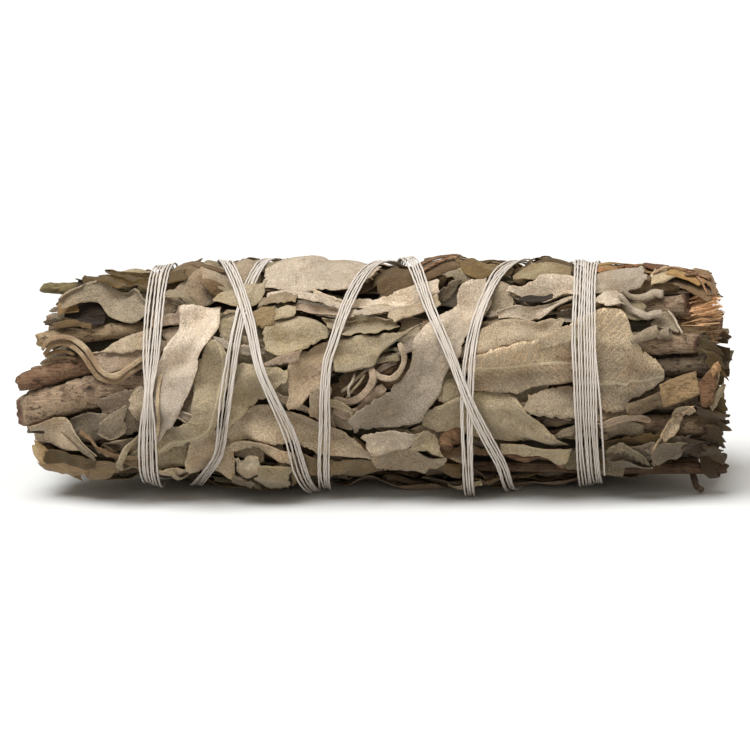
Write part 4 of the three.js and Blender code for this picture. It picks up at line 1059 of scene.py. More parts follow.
# %% Small leaves under the large ones
UNDER_LEAVES = [
    small("grey", 0.88, [(328, 412), (344, 410), (362, 418)], [(330, 434), (344, 437), (360, 434)], waves=0.25),
    small("olive", 0.75, [(83, 285), (90, 275), (97, 272), (107, 276)], [(86, 296), (94, 290), (102, 288), (110, 284)], cup=0.5),
    # A near-black leaf as painted shade: it fills the dark hollow under the curled leaf.
    small("brown", (0.1, 0.075, 0.05), [(64, 292), (84, 288), (104, 288)], [(62, 314), (84, 320), (104, 315)], creases=0.2, waves=0.2),
    small("brown", 0.4, [(50, 314), (64, 314), (78, 317)], [(52, 323), (66, 325), (78, 323)], upper_curl=(0.5, 0.2, UP)),
    small("brown", (1.2, 1.1, 0.8), [(57, 297), (68, 296), (80, 298)], [(57, 307), (68, 309), (79, 307)], creases=0.2),
    small("olive", 0.9, [(107, 271), (125, 268), (150, 267)], [(107, 279), (125, 278), (150, 277)], upper_curl=(0.8, 0.3, UP)),
    small("brown", 1.05, [(150, 266), (180, 262), (210, 262)], [(152, 280), (182, 282), (208, 280)], creases=0.3),
    small("brown", 0.9, [(164, 280), (186, 270), (206, 268)], [(160, 306), (184, 300), (204, 290)], creases=0.3, cup=0.4),
    small("grey", 0.85, [(150, 308), (176, 290), (206, 276), (220, 272)], [(154, 316), (180, 308), (206, 298), (222, 288)]),
    small("grey", 1.0, [(206, 270), (234, 262), (262, 264)], [(206, 288), (232, 290), (262, 288)], upper_curl=(0.8, 0.3, UP)),
    small("olive", 0.9, [(378, 262), (400, 256), (440, 254), (470, 256)], [(376, 276), (400, 276), (440, 276), (470, 270)]),
    small("brown", 0.7, [(380, 276), (410, 272), (440, 270), (466, 268)], [(378, 288), (410, 286), (440, 284), (466, 278)]),
    small("olive", 0.8, [(430, 256), (460, 252), (500, 252), (530, 256)], [(430, 268), (460, 266), (500, 262), (530, 264)]),
    small("olive", 0.9, [(518, 258), (546, 257), (566, 260), (578, 264)], [(516, 276), (544, 276), (566, 276), (578, 276)]),
    small("brown", 1.5, [(32, 452), (60, 455), (90, 458), (114, 458)], [(35, 467), (60, 470), (90, 470), (114, 468)],
          upper_curl=(0.8, 0.35, UP), wrinkles=0.12),
    small("olive", 1.0, [(44, 466), (70, 468), (100, 470)], [(52, 474), (74, 480), (104, 482)], upper_curl=(0.9, 0.35, UP)),
    small("green", 0.85, [(84, 458), (104, 456), (122, 456)], [(84, 470), (104, 470), (122, 468)], lower_curl=(0.8, 0.3, UP)),
    small("brown", 0.8, [(85, 470), (110, 472), (135, 474)], [(92, 484), (114, 486), (138, 488)]),
    small("pink", 0.62, [(96, 398), (120, 390), (140, 384)], [(98, 430), (124, 428), (146, 424)], waves=0.3),
    small("grey", 0.52, [(60, 424), (80, 414), (104, 412), (130, 406)], [(70, 440), (92, 438), (116, 432), (140, 430)], cup=0.3),
    small("grey", 0.58, [(96, 420), (108, 412), (126, 402)], [(98, 430), (110, 434), (124, 428)], lower_curl=(0.7, 0.3, UP)),
    small("grey", 1.0, [(96, 446), (106, 434), (120, 431), (140, 438)], [(98, 456), (112, 451), (126, 448), (140, 447)]),
    small("green", 0.9, [(124, 446), (136, 440), (150, 440)], [(122, 462), (138, 466), (150, 462)], cup=0.4),
    small("green", 0.9, [(154, 440), (172, 436), (188, 436)], [(152, 462), (172, 462), (186, 458)], cup=0.3),
    small("grey", 1.35, [(154, 458), (170, 456), (184, 460)], [(156, 482), (172, 486), (186, 484)], waves=0.3),
    small("grey", 0.95, [(184, 380), (196, 372), (214, 368)], [(182, 434), (198, 430), (216, 420)], waves=0.3),
    small("pink", 1.0, [(158, 322), (172, 320), (186, 320)], [(166, 343), (176, 338), (186, 336)], creases=0.2),
    small("grey", 0.9, [(150, 330), (166, 338), (176, 336)], [(150, 366), (160, 360), (170, 350)], cup=0.3),
    small("green", 0.95, [(220, 304), (240, 308), (262, 312)], [(222, 340), (242, 344), (266, 340)], waves=0.3),
    small("green", 0.9, [(226, 336), (246, 338), (270, 340)], [(228, 366), (250, 366), (274, 362)], waves=0.35, creases=0.2),
    small("green", 1.05, [(262, 344), (276, 350), (292, 350)], [(266, 364), (280, 366), (296, 362)], cup=0.3),
    small("green", 1.0, [(289, 366), (291, 388), (290, 412)], [(270, 384), (276, 396), (284, 414)], cup=0.3),
    small("grey", 0.9, [(226, 448), (242, 446), (262, 448)], [(228, 460), (246, 462), (264, 458)], creases=0.3, cup=0.4),
    small("grey", 0.62, [(232, 462), (252, 458), (275, 460)], [(230, 480), (252, 484), (276, 482)], upper_curl=(0.9, 0.35, UP)),
    small("green", 0.62, [(258, 462), (276, 458), (296, 460)], [(260, 478), (278, 482), (296, 482)], creases=0.3),
    small("grey", 0.9, [(318, 340), (330, 344), (336, 340)], [(312, 364), (326, 372), (336, 368)], cup=0.3),
    small("pink", 0.9, [(310, 400), (316, 389), (330, 388)], [(308, 422), (318, 429), (332, 433)], cup=0.4),
    small("pale", 0.95, [(300, 296), (330, 294), (352, 298)], [(300, 308), (330, 310), (352, 312)], waves=0.2),
    small("green", 1.0, [(350, 308), (372, 305), (392, 306)], [(346, 320), (370, 320), (396, 318)], cup=0.3),
    small("grey", 0.95, [(404, 316), (424, 312), (440, 312)], [(396, 340), (420, 346), (436, 340)], waves=0.3),
    small("pale", 0.9, [(400, 346), (420, 334), (440, 320)], [(396, 358), (416, 350), (434, 338)], creases=0.35),
    small("brown", 1.0, [(424, 322), (440, 310), (456, 304)], [(420, 334), (438, 326), (452, 318)], creases=0.25),
    small("grey", 0.85, [(410, 430), (426, 426), (442, 430)], [(406, 448), (424, 452), (442, 450)], creases=0.3, cup=0.4),
    small("olive", 1.1, [(424, 466), (440, 462), (458, 464)], [(424, 484), (442, 488), (458, 486)]),
    small("olive", 0.9, [(460, 470), (500, 474), (540, 478)], [(460, 484), (500, 486), (540, 488)]),
    small("green", 0.85, [(540, 436), (570, 430), (600, 432)], [(544, 446), (572, 446), (600, 446)], creases=0.3),
    small("green", 0.6, [(560, 450), (590, 452), (620, 456)], [(556, 466), (590, 468), (620, 468)], upper_curl=(0.8, 0.3, UP)),
    small("grey", 1.0, [(490, 290), (502, 284), (516, 286)], [(488, 324), (502, 326), (514, 318)], waves=0.3),
    small("grey", 0.95, [(480, 320), (500, 314), (520, 312)], [(470, 342), (496, 340), (520, 336)], waves=0.25),
    small("pale", 0.95, [(560, 300), (580, 296), (600, 296)], [(556, 322), (578, 322), (600, 318)], waves=0.25),
    small("grey", 1.0, [(594, 298), (606, 295), (622, 296)], [(596, 316), (610, 318), (622, 316)], waves=0.25),
    small("green", 0.8, [(622, 300), (634, 298), (646, 300)], [(624, 316), (636, 318), (648, 314)], creases=0.3),
    small("green", 0.95, [(434, 372), (446, 366), (464, 362)], [(436, 400), (450, 404), (468, 398)], creases=0.3),
    small("grey", 0.95, [(500, 386), (520, 384), (546, 386)], [(504, 406), (524, 414), (546, 410)]),
    small("grey", 0.9, [(560, 330), (576, 326), (590, 330)], [(560, 346), (576, 346), (590, 346)], creases=0.2),
    small("olive", 0.55, [(58, 438), (90, 440), (112, 438)], [(60, 458), (90, 462), (112, 458)]),
    small("grey", 0.8, [(598, 432), (616, 426), (640, 432)], [(600, 444), (620, 442), (642, 446)], creases=0.3),
    small("brown", 1.0, [(616, 446), (634, 440), (650, 446)], [(618, 456), (636, 456), (652, 456)], creases=0.3),
    small("olive", 0.9, [(600, 440), (640, 436), (676, 432)], [(602, 452), (640, 452), (678, 446)]),
]
print("small leaves listed:", len(UNDER_LEAVES))

# %% Large leaves, the lowest first
# The fade and slope of these leaves paint light and shade on them: parts are made brighter where light falls and darker
# where shade lies.
COVER_LEAVES = [
    cover("leaf_front_left_low", "grey", 1.12, [(25, 425), (36, 423), (58, 418), (76, 432), (94, 444)],
          [(30, 452), (50, 451), (76, 447), (96, 446)], lower_curl=(0.6, 0.3, UNDER), waves=0.2,
          slope=(0.95, 1.3, 0.2, 0.9)),
    cover("leaf_front_left_mid", "pink", 1.02, [(87, 345), (104, 342), (121, 336), (130, 327), (146, 325)],
          [(90, 352), (98, 365), (104, 371), (122, 366), (146, 358)], upper_curl=(0.5, 0.25, UP), waves=0.25),
    cover("leaf_front_left_high", "grey", (0.84, 0.86, 0.87), [(58, 295), (70, 288), (90, 281), (110, 277), (132, 278), (150, 290)],
          [(64, 305), (84, 295), (99, 292), (110, 303), (130, 307), (150, 304)], upper_curl=(1.5, 0.5, UP), start_lift=0.4),
    cover("leaf_top_left", "olive", 1.0, [(100, 275), (125, 273), (150, 272), (190, 269)],
          [(100, 283), (125, 283), (150, 284), (188, 282)], upper_curl=(1.0, 0.4, UP), creases=0.25),
    cover("leaf_front_far_right_low", "grey", 0.46, [(604, 452), (640, 446), (664, 440), (684, 440)],
          [(606, 462), (640, 463), (668, 461), (682, 452)], waves=0.4, creases=0.35, ragged=0.3),
    cover("leaf_front_rolled", "pink", 1.02, [(150, 312), (165, 308), (190, 305)],
          [(150, 323), (170, 321), (190, 320)], lower_curl=(0.8, 0.35, UNDER)),
    cover("leaf_front_under_left", "grey", 1.08, [(192, 434), (183, 450), (182, 462), (190, 474), (198, 481)],
          [(218, 428), (226, 442), (231, 462), (231, 474), (226, 482)], waves=0.2, fade=(0.95, 1.5, 0, 1)),
    cover("leaf_front_broad_low", "grey", 1.08,
          [(224, 432), (242, 414), (260, 410), (280, 412), (302, 416), (318, 426), (334, 436), (354, 446), (370, 457)],
          [(226, 450), (242, 446), (258, 444), (282, 448), (304, 456), (330, 462), (350, 465), (367, 463)], waves=0.2,
          slope=(0.98, 1.45, 0.3, 0.9)),
    cover("leaf_front_middle_low", "brown", (1.2, 1.4, 1.5), [(288, 456), (320, 463), (350, 466), (376, 462)],
          [(290, 480), (320, 485), (350, 487), (378, 484)], waves=0.3, sink=0.3),
    cover("leaf_front_low_right_of_middle", "grey", 0.85, [(370, 454), (400, 454), (430, 454), (446, 454)],
          [(374, 472), (396, 480), (420, 476), (442, 464)], creases=0.25, waves=0.3),
    cover("leaf_front_purple", "pink", (1.17, 1.17, 1.08), [(330, 340), (316, 344), (300, 352), (290, 366)],
          [(330, 376), (314, 390), (302, 402), (288, 410)], creases=0.2, waves=0.25),
    cover("leaf_front_lumpy", "green", 1.08, [(266, 330), (274, 318), (300, 316), (318, 320), (328, 326)],
          [(266, 350), (280, 356), (300, 350), (318, 344), (328, 338)], waves=0.35, creases=0.15, cup=0.3),
    cover("leaf_front_triangle", "green", 1.0, [(289, 371), (270, 365), (250, 362), (227, 362)],
          [(289, 378), (270, 392), (250, 410), (227, 428)], waves=0.2, start_lift=0.3),
    cover("leaf_front_rough", "green", 0.98, [(332, 338), (352, 335), (380, 333), (410, 330), (428, 323)],
          [(334, 374), (350, 374), (362, 371), (374, 368), (382, 354), (404, 338)], creases=0.3, waves=0.35,
          lower_curl=(0.7, 0.3, UP), slope=(1.05, 0.75, 0.3, 1)),
    cover("leaf_front_curled_edge", "green", 1.0, [(326, 316), (350, 311), (380, 311), (400, 318)],
          [(330, 328), (350, 335), (380, 333), (400, 328)], upper_curl=(0.9, 0.35, UP), cup=0.3),
    cover("leaf_front_midrib_left", "green", 0.98,
          [(214, 338), (202, 354), (198, 364), (192, 380), (193, 392), (190, 410), (174, 424), (164, 430), (152, 440)],
          [(216, 338), (226, 348), (230, 362), (228, 380), (223, 400), (217, 418), (211, 428), (190, 437), (156, 450)],
          rib=0.2, rib_at=(0.8, 0.8), ragged=0.2, cup=0.3),
    cover("leaf_front_bright_left", "pale", (1.1, 1.11, 1.14),
          [(183, 308), (178, 328), (168, 342), (160, 356), (154, 370), (151, 388), (150, 405), (151, 425), (153, 438)],
          [(223, 301), (222, 326), (213, 340), (202, 354), (197, 372), (189, 392), (180, 410), (168, 424), (157, 438)],
          upper_curl=(0.35, 0.25, UNDER), waves=0.13, cup=0.12, end_lift=0.2, fade=(1.33, 0.72, 0.3, 0.62), ragged=0.1, notches=0.2),
    cover("leaf_top_bright", "pale", 1.0, [(268, 266), (302, 258), (340, 256), (366, 256), (384, 260)],
          [(268, 289), (290, 292), (318, 290), (342, 287), (362, 278), (380, 268)], waves=0.16, lower_curl=(0.4, 0.3, UNDER),
          level=-0.45),
    cover("leaf_top_rolled", "pale", 1.28, [(318, 290), (345, 291), (370, 284), (400, 282), (442, 281)],
          [(318, 296), (345, 301), (380, 301), (420, 299), (442, 294)], lower_curl=(1.0, 0.45, UNDER), waves=0.25),
    cover("leaf_front_grey_right", "grey", 0.88, [(526, 396), (550, 390), (576, 387), (602, 388), (626, 394)],
          [(520, 411), (540, 416), (560, 417), (580, 424), (626, 424)], cup=0.25, waves=0.22, lower_curl=(0.5, 0.3, UNDER)),
    cover("leaf_front_pointed_right", "green", 0.97,
          [(418, 420), (436, 408), (460, 397), (484, 392), (510, 396), (530, 415), (548, 430), (563, 449)],
          [(420, 430), (445, 438), (470, 444), (486, 449), (505, 450), (530, 449), (548, 450), (561, 451)], waves=0.2),
    cover("leaf_front_upper_right", "pale", 1.12, [(498, 311), (520, 304), (550, 298), (576, 292)],
          [(500, 321), (520, 319), (550, 312), (576, 302)], upper_curl=(0.7, 0.3, UP), lower_curl=(0.6, 0.3, UP)),
    cover("leaf_front_above_midrib", "grey", 1.14, [(460, 350), (480, 330), (510, 322), (540, 316), (566, 317)],
          [(458, 357), (480, 357), (505, 350), (530, 346), (550, 335), (566, 321)], waves=0.22),
    cover("leaf_front_midrib_right", "grey", 1.04, [(460, 361), (490, 353), (520, 345), (545, 339), (578, 334)],
          [(470, 391), (492, 393), (512, 393), (530, 389), (552, 385), (578, 383)], rib=0.26, rib_at=(0.26, 0.6), waves=0.16, notches=0.2,
          slope=(1.6, 0.52, 0.3, 0.8)),
    cover("leaf_front_far_right", "grey", 1.02,
          [(572, 320), (596, 312), (612, 310), (626, 312), (632, 330), (640, 346), (652, 360), (660, 371)],
          [(574, 410), (596, 413), (610, 414), (622, 414), (626, 404), (638, 400), (648, 392), (660, 382)],
          rib=0.22, rib_at=(0.74, 0.72), waves=0.22, ragged=0.28, slope=(1.55, 0.6, 0.0, 0.6), fade=(1.04, 0.76, 0.2, 1)),
    cover("leaf_front_big_diagonal", "pale", 1.0,
          [(462, 288), (452, 304), (440, 316), (428, 326), (419, 338), (414, 352), (410, 366), (400, 380), (388, 392),
           (370, 403), (352, 414), (343, 424)],
          [(488, 278), (494, 288), (493, 300), (486, 314), (472, 328), (465, 342), (460, 356), (449, 368), (442, 382),
           (438, 394), (424, 412), (416, 424), (396, 429), (372, 433), (350, 439)],
          waves=0.25, ragged=0.2, cup=0.1, fade=(1.15, 0.58, 0.15, 0.7), slope=(1.04, 0.88, 0, 1)),
]
print("large leaves listed:", len(COVER_LEAVES))

# %% Small leaves over the large ones
OVER_LEAVES = [
    small("brown", 1.0, [(588, 266), (630, 266), (680, 270), (716, 278)], [(588, 284), (640, 280), (674, 282), (712, 303)],
          level=-0.85, waves=0.15, creases=0.25, wrinkles=0.15, ragged=0.3, notches=0.1),
    small("olive", 0.45, [(695, 334), (708, 338), (717, 347)], [(697, 354), (708, 358), (719, 364)], level=-1.9,
          ragged=0.35, creases=0.3),
    small("olive", 0.65, [(702, 350), (711, 352), (721, 360)], [(704, 370), (712, 376), (722, 382)], level=-1.6, ragged=0.4),
    small("olive", 0.66, [(700, 392), (711, 394), (719, 402)], [(698, 413), (711, 418), (720, 424)], level=-1.5,
          ragged=0.4, creases=0.3),
    small("brown", 0.45, [(696, 408), (706, 410), (719, 418)], [(692, 432), (706, 438), (720, 444)], level=-1.8, ragged=0.4),
    small("olive", 0.52, [(704, 426), (711, 428), (719, 438)], [(700, 446), (711, 450), (720, 458)], level=-1.2,
          ragged=0.4, upper_curl=(0.6, 0.25, UP)),
    small("brown", 0.35, [(678, 438), (694, 442), (712, 448)], [(680, 462), (696, 468), (714, 474)], level=-1.5,
          ragged=0.4, creases=0.3),
    small("olive", 0.5, [(700, 444), (710, 448), (718, 453)], [(698, 458), (709, 462), (719, 466)], level=-1.6, ragged=0.4),
    small("brown", 1.2, [(32, 456), (50, 461), (72, 464)], [(38, 469), (56, 474), (76, 478)], level=-0.5, wrinkles=0.15),
    small("brown", (1.9, 1.75, 1.4), [(588, 263), (640, 262), (690, 267), (714, 274)],
          [(588, 272), (640, 273), (690, 278), (713, 287)], level=-0.45, waves=0.1, notches=0.3, wrinkles=0.12),
    small("olive", (2.1, 2.05, 2.0), [(588, 261), (640, 262), (690, 266), (716, 273)],
          [(588, 268), (640, 268), (690, 272), (715, 279)], level=-0.2, waves=0.04, ragged=0.08, notches=0.1),
    small("brown", 1.4, [(698, 272), (709, 275), (718, 282)], [(700, 282), (710, 288), (720, 298)], level=-0.6, ragged=0.3),
    small("brown", (1.7, 1.25, 1.0), [(600, 270), (605, 269), (610, 270)], [(600, 273), (605, 274), (610, 273)], level=-0.3),
    small("brown", (0.7, 0.48, 0.38), [(648, 267), (660, 264), (672, 267)], [(649, 272), (660, 274), (671, 272)], level=-0.3),
    small("pale", (0.95, 0.9, 0.74), [(653, 276), (667, 271), (683, 270)], [(653, 285), (667, 284), (683, 281)], level=-0.55,
          upper_curl=(0.7, 0.35, UNDER), lower_curl=(0.7, 0.35, UNDER), ragged=0.1),
    small("brown", (2.0, 1.9, 1.4), [(672, 272), (690, 275), (706, 281)], [(670, 279), (688, 284), (702, 290)], level=-0.4,
          creases=0.2, ragged=0.3),
    small("olive", 1.5, [(460, 268), (478, 260), (500, 257), (515, 258)], [(470, 278), (482, 280), (500, 272), (516, 264)]),
    small("brown", (1.5, 1.8, 2.0), [(516, 274), (528, 266), (552, 265), (577, 267)], [(520, 277), (550, 279), (577, 276)],
          cup=0.1, level=-0.5),
    small("pale", 1.08, [(512, 285), (536, 278), (562, 276), (582, 276)], [(508, 291), (536, 292), (560, 293), (582, 292)], waves=0.25),
    # A near-black leaf as painted shade, in the hollow under the pale leaf above it.
    small("brown", (0.11, 0.09, 0.07), [(520, 298), (535, 291), (556, 293)], [(521, 303), (536, 303), (556, 300)], waves=0.1,
          ragged=0.1, notches=0.1),
    small("pale", 0.82, [(594, 276), (620, 273), (648, 270)], [(598, 290), (620, 287), (650, 283)], waves=0.25),
    small("pale", 1.15, [(598, 299), (612, 291), (625, 290)], [(598, 307), (612, 310), (627, 306)], cup=0.2),
    small("grey", 0.75, [(652, 306), (664, 302), (674, 304)], [(650, 318), (662, 324), (676, 330)], creases=0.2),
    small("pink", 1.1, [(290, 303), (320, 301), (350, 303)], [(292, 306), (315, 312), (342, 313)], waves=0.1),
    small("green", 1.1, [(256, 314), (275, 306), (300, 309)], [(256, 323), (272, 323), (300, 319)], creases=0.25),
    small("green", 1.2, [(362, 300), (380, 297), (394, 299)], [(364, 309), (380, 312), (396, 309)], waves=0.1),
    small("pale", 1.0, [(346, 305), (372, 304), (404, 303), (424, 302)], [(348, 313), (372, 314), (404, 313), (424, 309)],
          waves=0.12),
    small("grey", 1.2, [(388, 313), (410, 301), (440, 291)], [(398, 327), (418, 317), (444, 307)], upper_curl=(0.7, 0.35, UNDER), lower_curl=(0.7, 0.35, UNDER)),
    small("pale", 1.0, [(268, 293), (292, 291), (320, 294), (350, 302)], [(270, 304), (300, 300), (330, 304), (350, 308)], upper_curl=(0.6, 0.3, UNDER)),
    small("pale", 1.0, [(104, 371), (118, 369), (130, 367)], [(106, 376), (118, 376), (130, 373)], waves=0.1),
    small("brown", (1.75, 2.0, 2.1), [(253, 314), (264, 309), (280, 309)], [(256, 328), (268, 328), (280, 321)], ragged=0.25),
    small("brown", (1.75, 2.15, 2.8), [(262, 300), (284, 296), (302, 297)], [(262, 308), (284, 305), (300, 306)], waves=0.1,
          wrinkles=0.15),
    small("grey", 1.12, [(222, 447), (240, 442), (262, 444), (288, 452)], [(224, 454), (242, 451), (264, 453), (290, 459)],
          ragged=0.25, notches=0.8),
    small("brown", (1.6, 1.95, 2.6), [(230, 457), (244, 454), (256, 454)], [(232, 466), (246, 467), (258, 463)], ragged=0.3, notches=0.9),
    small("green", 0.85, [(256, 456), (270, 457), (290, 460)], [(252, 474), (268, 482), (288, 481)], ragged=0.25),
    small("grey", 0.6, [(230, 468), (242, 467), (254, 470)], [(232, 480), (244, 483), (256, 480)], ragged=0.3),
    small("pink", 0.85, [(264, 362), (284, 356), (306, 350)], [(268, 368), (286, 366), (300, 362)], waves=0.1),
    small("grey", 0.95, [(310, 390), (318, 385), (328, 384)], [(308, 418), (318, 424), (328, 424)], ragged=0.1),
    small("grey", 0.9, [(540, 340), (560, 330), (578, 326)], [(542, 350), (562, 346), (578, 344)], waves=0.1),
    small("grey", 0.95, [(126, 403), (133, 391), (143, 383)], [(130, 409), (140, 425), (147, 411)], ragged=0.25, end_lift=0.3),
    small("pale", 0.95, [(356, 440), (380, 434), (410, 434), (421, 436)], [(368, 454), (385, 456), (402, 452), (416, 442)], waves=0.2),
    small("green", 0.9, [(412, 438), (422, 432), (434, 438)], [(410, 450), (424, 448), (440, 452)], creases=0.3),
    small("green", 1.3, [(494, 452), (520, 448), (550, 446), (567, 452)], [(500, 462), (530, 464), (560, 467), (566, 458)], waves=0.2),
    small("green", 0.54, [(602, 446), (620, 442), (640, 450), (646, 456)], [(604, 452), (622, 450), (642, 459)],
          ragged=0.35, upper_curl=(0.5, 0.2, UP)),
    small("grey", 0.42, [(606, 458), (626, 455), (650, 460)], [(608, 464), (628, 464), (650, 466)], ragged=0.35, cup=0.4),
    small("pink", 0.95, [(594, 424), (620, 417), (640, 424), (647, 430)], [(598, 429), (620, 425), (645, 432)], cup=0.3),
    small("grey", 1.0, [(656, 438), (666, 427), (672, 413), (692, 408)], [(660, 441), (671, 436), (681, 425), (694, 412)],
          start_lift=0.3, waves=0.12),
    small("green", 0.68, [(706, 410), (711, 398), (719, 386)], [(708, 413), (716, 404), (721, 389)], ragged=0.1),
    small("brown", (1.9, 2.1, 2.3), [(29, 451), (50, 454), (76, 454), (84, 455)], [(37, 466), (56, 468), (76, 468), (84, 467)],
          wrinkles=0.12, waves=0.1, notches=0.3),
    small("brown", (1.5, 1.75, 2.0), [(83, 456), (100, 456), (118, 455)], [(84, 468), (100, 469), (118, 467)], wrinkles=0.12),
    small("brown", (2.6, 2.9, 3.0), [(27, 444), (34, 446), (42, 449)], [(30, 453), (36, 456), (44, 456)], ragged=0.2),
    small("brown", (0.85, 0.9, 0.85), [(54, 318), (74, 315), (90, 315)], [(56, 323), (76, 320), (90, 319)], waves=0.06,
          ragged=0.1, notches=0.1),
    small("grey", 1.12, [(108, 336), (126, 325), (150, 322)], [(98, 346), (124, 347), (150, 344)], waves=0.1),
    small("olive", 0.8, [(38, 448), (60, 446), (94, 446)], [(40, 456), (64, 456), (94, 457)], waves=0.1),
    small("grey", 0.6, [(58, 427), (72, 431), (86, 439), (95, 444)], [(58, 430), (70, 435), (84, 443), (94, 448)],
          upper_curl=(0.4, 0.2, UP)),
    small("grey", 0.44, [(640, 448), (656, 440), (682, 440)], [(646, 455), (660, 460), (670, 463), (681, 448)],
          ragged=0.4, notches=0.9, creases=0.25),
]
TIP_OVER_THREAD = small(
    "green", 1.12, [(216, 297), (232, 290), (250, 285), (269, 282)], [(216, 301), (232, 305), (248, 308), (262, 304), (269, 292)], waves=0.15
)

# %% [markdown]
# ## Stalks and curled petioles
#
# Some leaves show only as their stalk: a strip folded in two with a groove along it, that curls and loops
# where it dried. Each is a flattened tube along a few points, lying on the heap, and it may rise from it.

# %% Stalks
STALK_SIDES = 14


def frames_along(centre, closed=False):
    """For each point of a line round the bundle: the ways ahead, aside and outwards."""
    ahead = np.roll(centre, -1, 0) - np.roll(centre, 1, 0) if closed else np.gradient(centre, axis=0)
    ahead /= np.linalg.norm(ahead, axis=1, keepdims=True)
    out = (centre - [0, AXIS_OFFSET[1], AXIS_HEIGHT]) * (0, 1, 1)
    out -= ahead * np.einsum("ij,ij->i", out, ahead)[:, None]
    out /= np.linalg.norm(out, axis=1, keepdims=True)
    return ahead, np.cross(ahead, out), out


def seen_at_height(points, rise):
    """Places of points of the picture for what lies on the heap, with the given rises over it."""
    spots = seen(points)
    ground = blurred(highest_near(heap, 0.3), 0.4)
    lift = np.interp(np.linspace(0, 1, len(points)), np.linspace(0, 1, len(rise)), rise)
    depth = 0.0
    for _ in range(6):
        found = outer_radius(spots[:, 0]) - (read(ground, *spots.T) - read(pinched, *spots.T) + lift + 0.2)
        depth = 0.5 * depth + 0.5 * np.clip(found, -0.3, 3.0)
        spots = seen(points, depth)
    return spots


def lay_stalk(points, wide, rise, seed, flat=0.55, groove=0.5, depth=0.0, shade=1.0, ends=(0.7, 0.7), cut=0, level=None):
    """A grooved stalk through points of the picture. Its rises are the heights over the heap on the way."""
    spots = seen_at_height(points, rise) if depth is None else seen(points, depth)
    count = max(12, int(way_along(through(spots, 100))[-1] / 0.3))
    route = through(spots, count)
    t = np.linspace(0, 1, count)
    ground = read(blurred(highest_near(heap, 0.3), 0.4), route[:, 0], route[:, 1])
    lift = through(np.column_stack([np.linspace(0, 1, len(rise)), rise]), count)[:, 1]
    size = wide * np.minimum(1, np.minimum(ends[0] + 6 * t, ends[1] + 6 * (1 - t)))
    size = size * (1 + 0.12 * hills(np.column_stack([t * 9, 0 * t]), 1.0, seed))
    height = ground + 0.5 * flat * size + lift
    if level is not None:
        height = np.maximum(height, outer_radius(route[:, 0]) + level)
    centre = place(route[:, 0], route[:, 1], height)
    _, side, out = frames_along(centre)
    a = np.linspace(0, math.tau, STALK_SIDES + 1)[:-1][None, :]
    aside = 0.5 * size[:, None] * np.cos(a)
    up = 0.5 * size[:, None] * flat * np.sin(a)
    up = up * (1 - groove * np.exp(-((np.cos(a) / 0.3) ** 2)) * (np.sin(a) > 0))
    rings = centre[:, None] + side[:, None] * aside[..., None] + out[:, None] * up[..., None]
    tint = np.ones(rings.shape[:2] + (4,))
    # Painted shade: the stalk is darker along the groove on its top.
    groove_shade = 1 - 0.3 * np.exp(-((np.cos(a) / 0.25) ** 2)) * (np.sin(a) > 0)
    tint[..., :3] = (groove_shade * (1 + 0.1 * hills(np.column_stack([t * 12, 0 * t]), 1.0, seed + 1))[:, None])[..., None]
    tint[..., :3] *= shade
    tint[..., 3] = cut
    blade = np.stack([0 * rings[..., 0] + seed, NO_RIB + aside, 1 + 0 * aside], -1)
    if max(rise) < 0.8:
        for off in (-0.3, 0, 0.3):
            np.maximum.at(heap, cell_of(route[:, 0], route[:, 1] + off * wide), height + 0.5 * flat * size)
    return tube_part(rings, tint, blade)


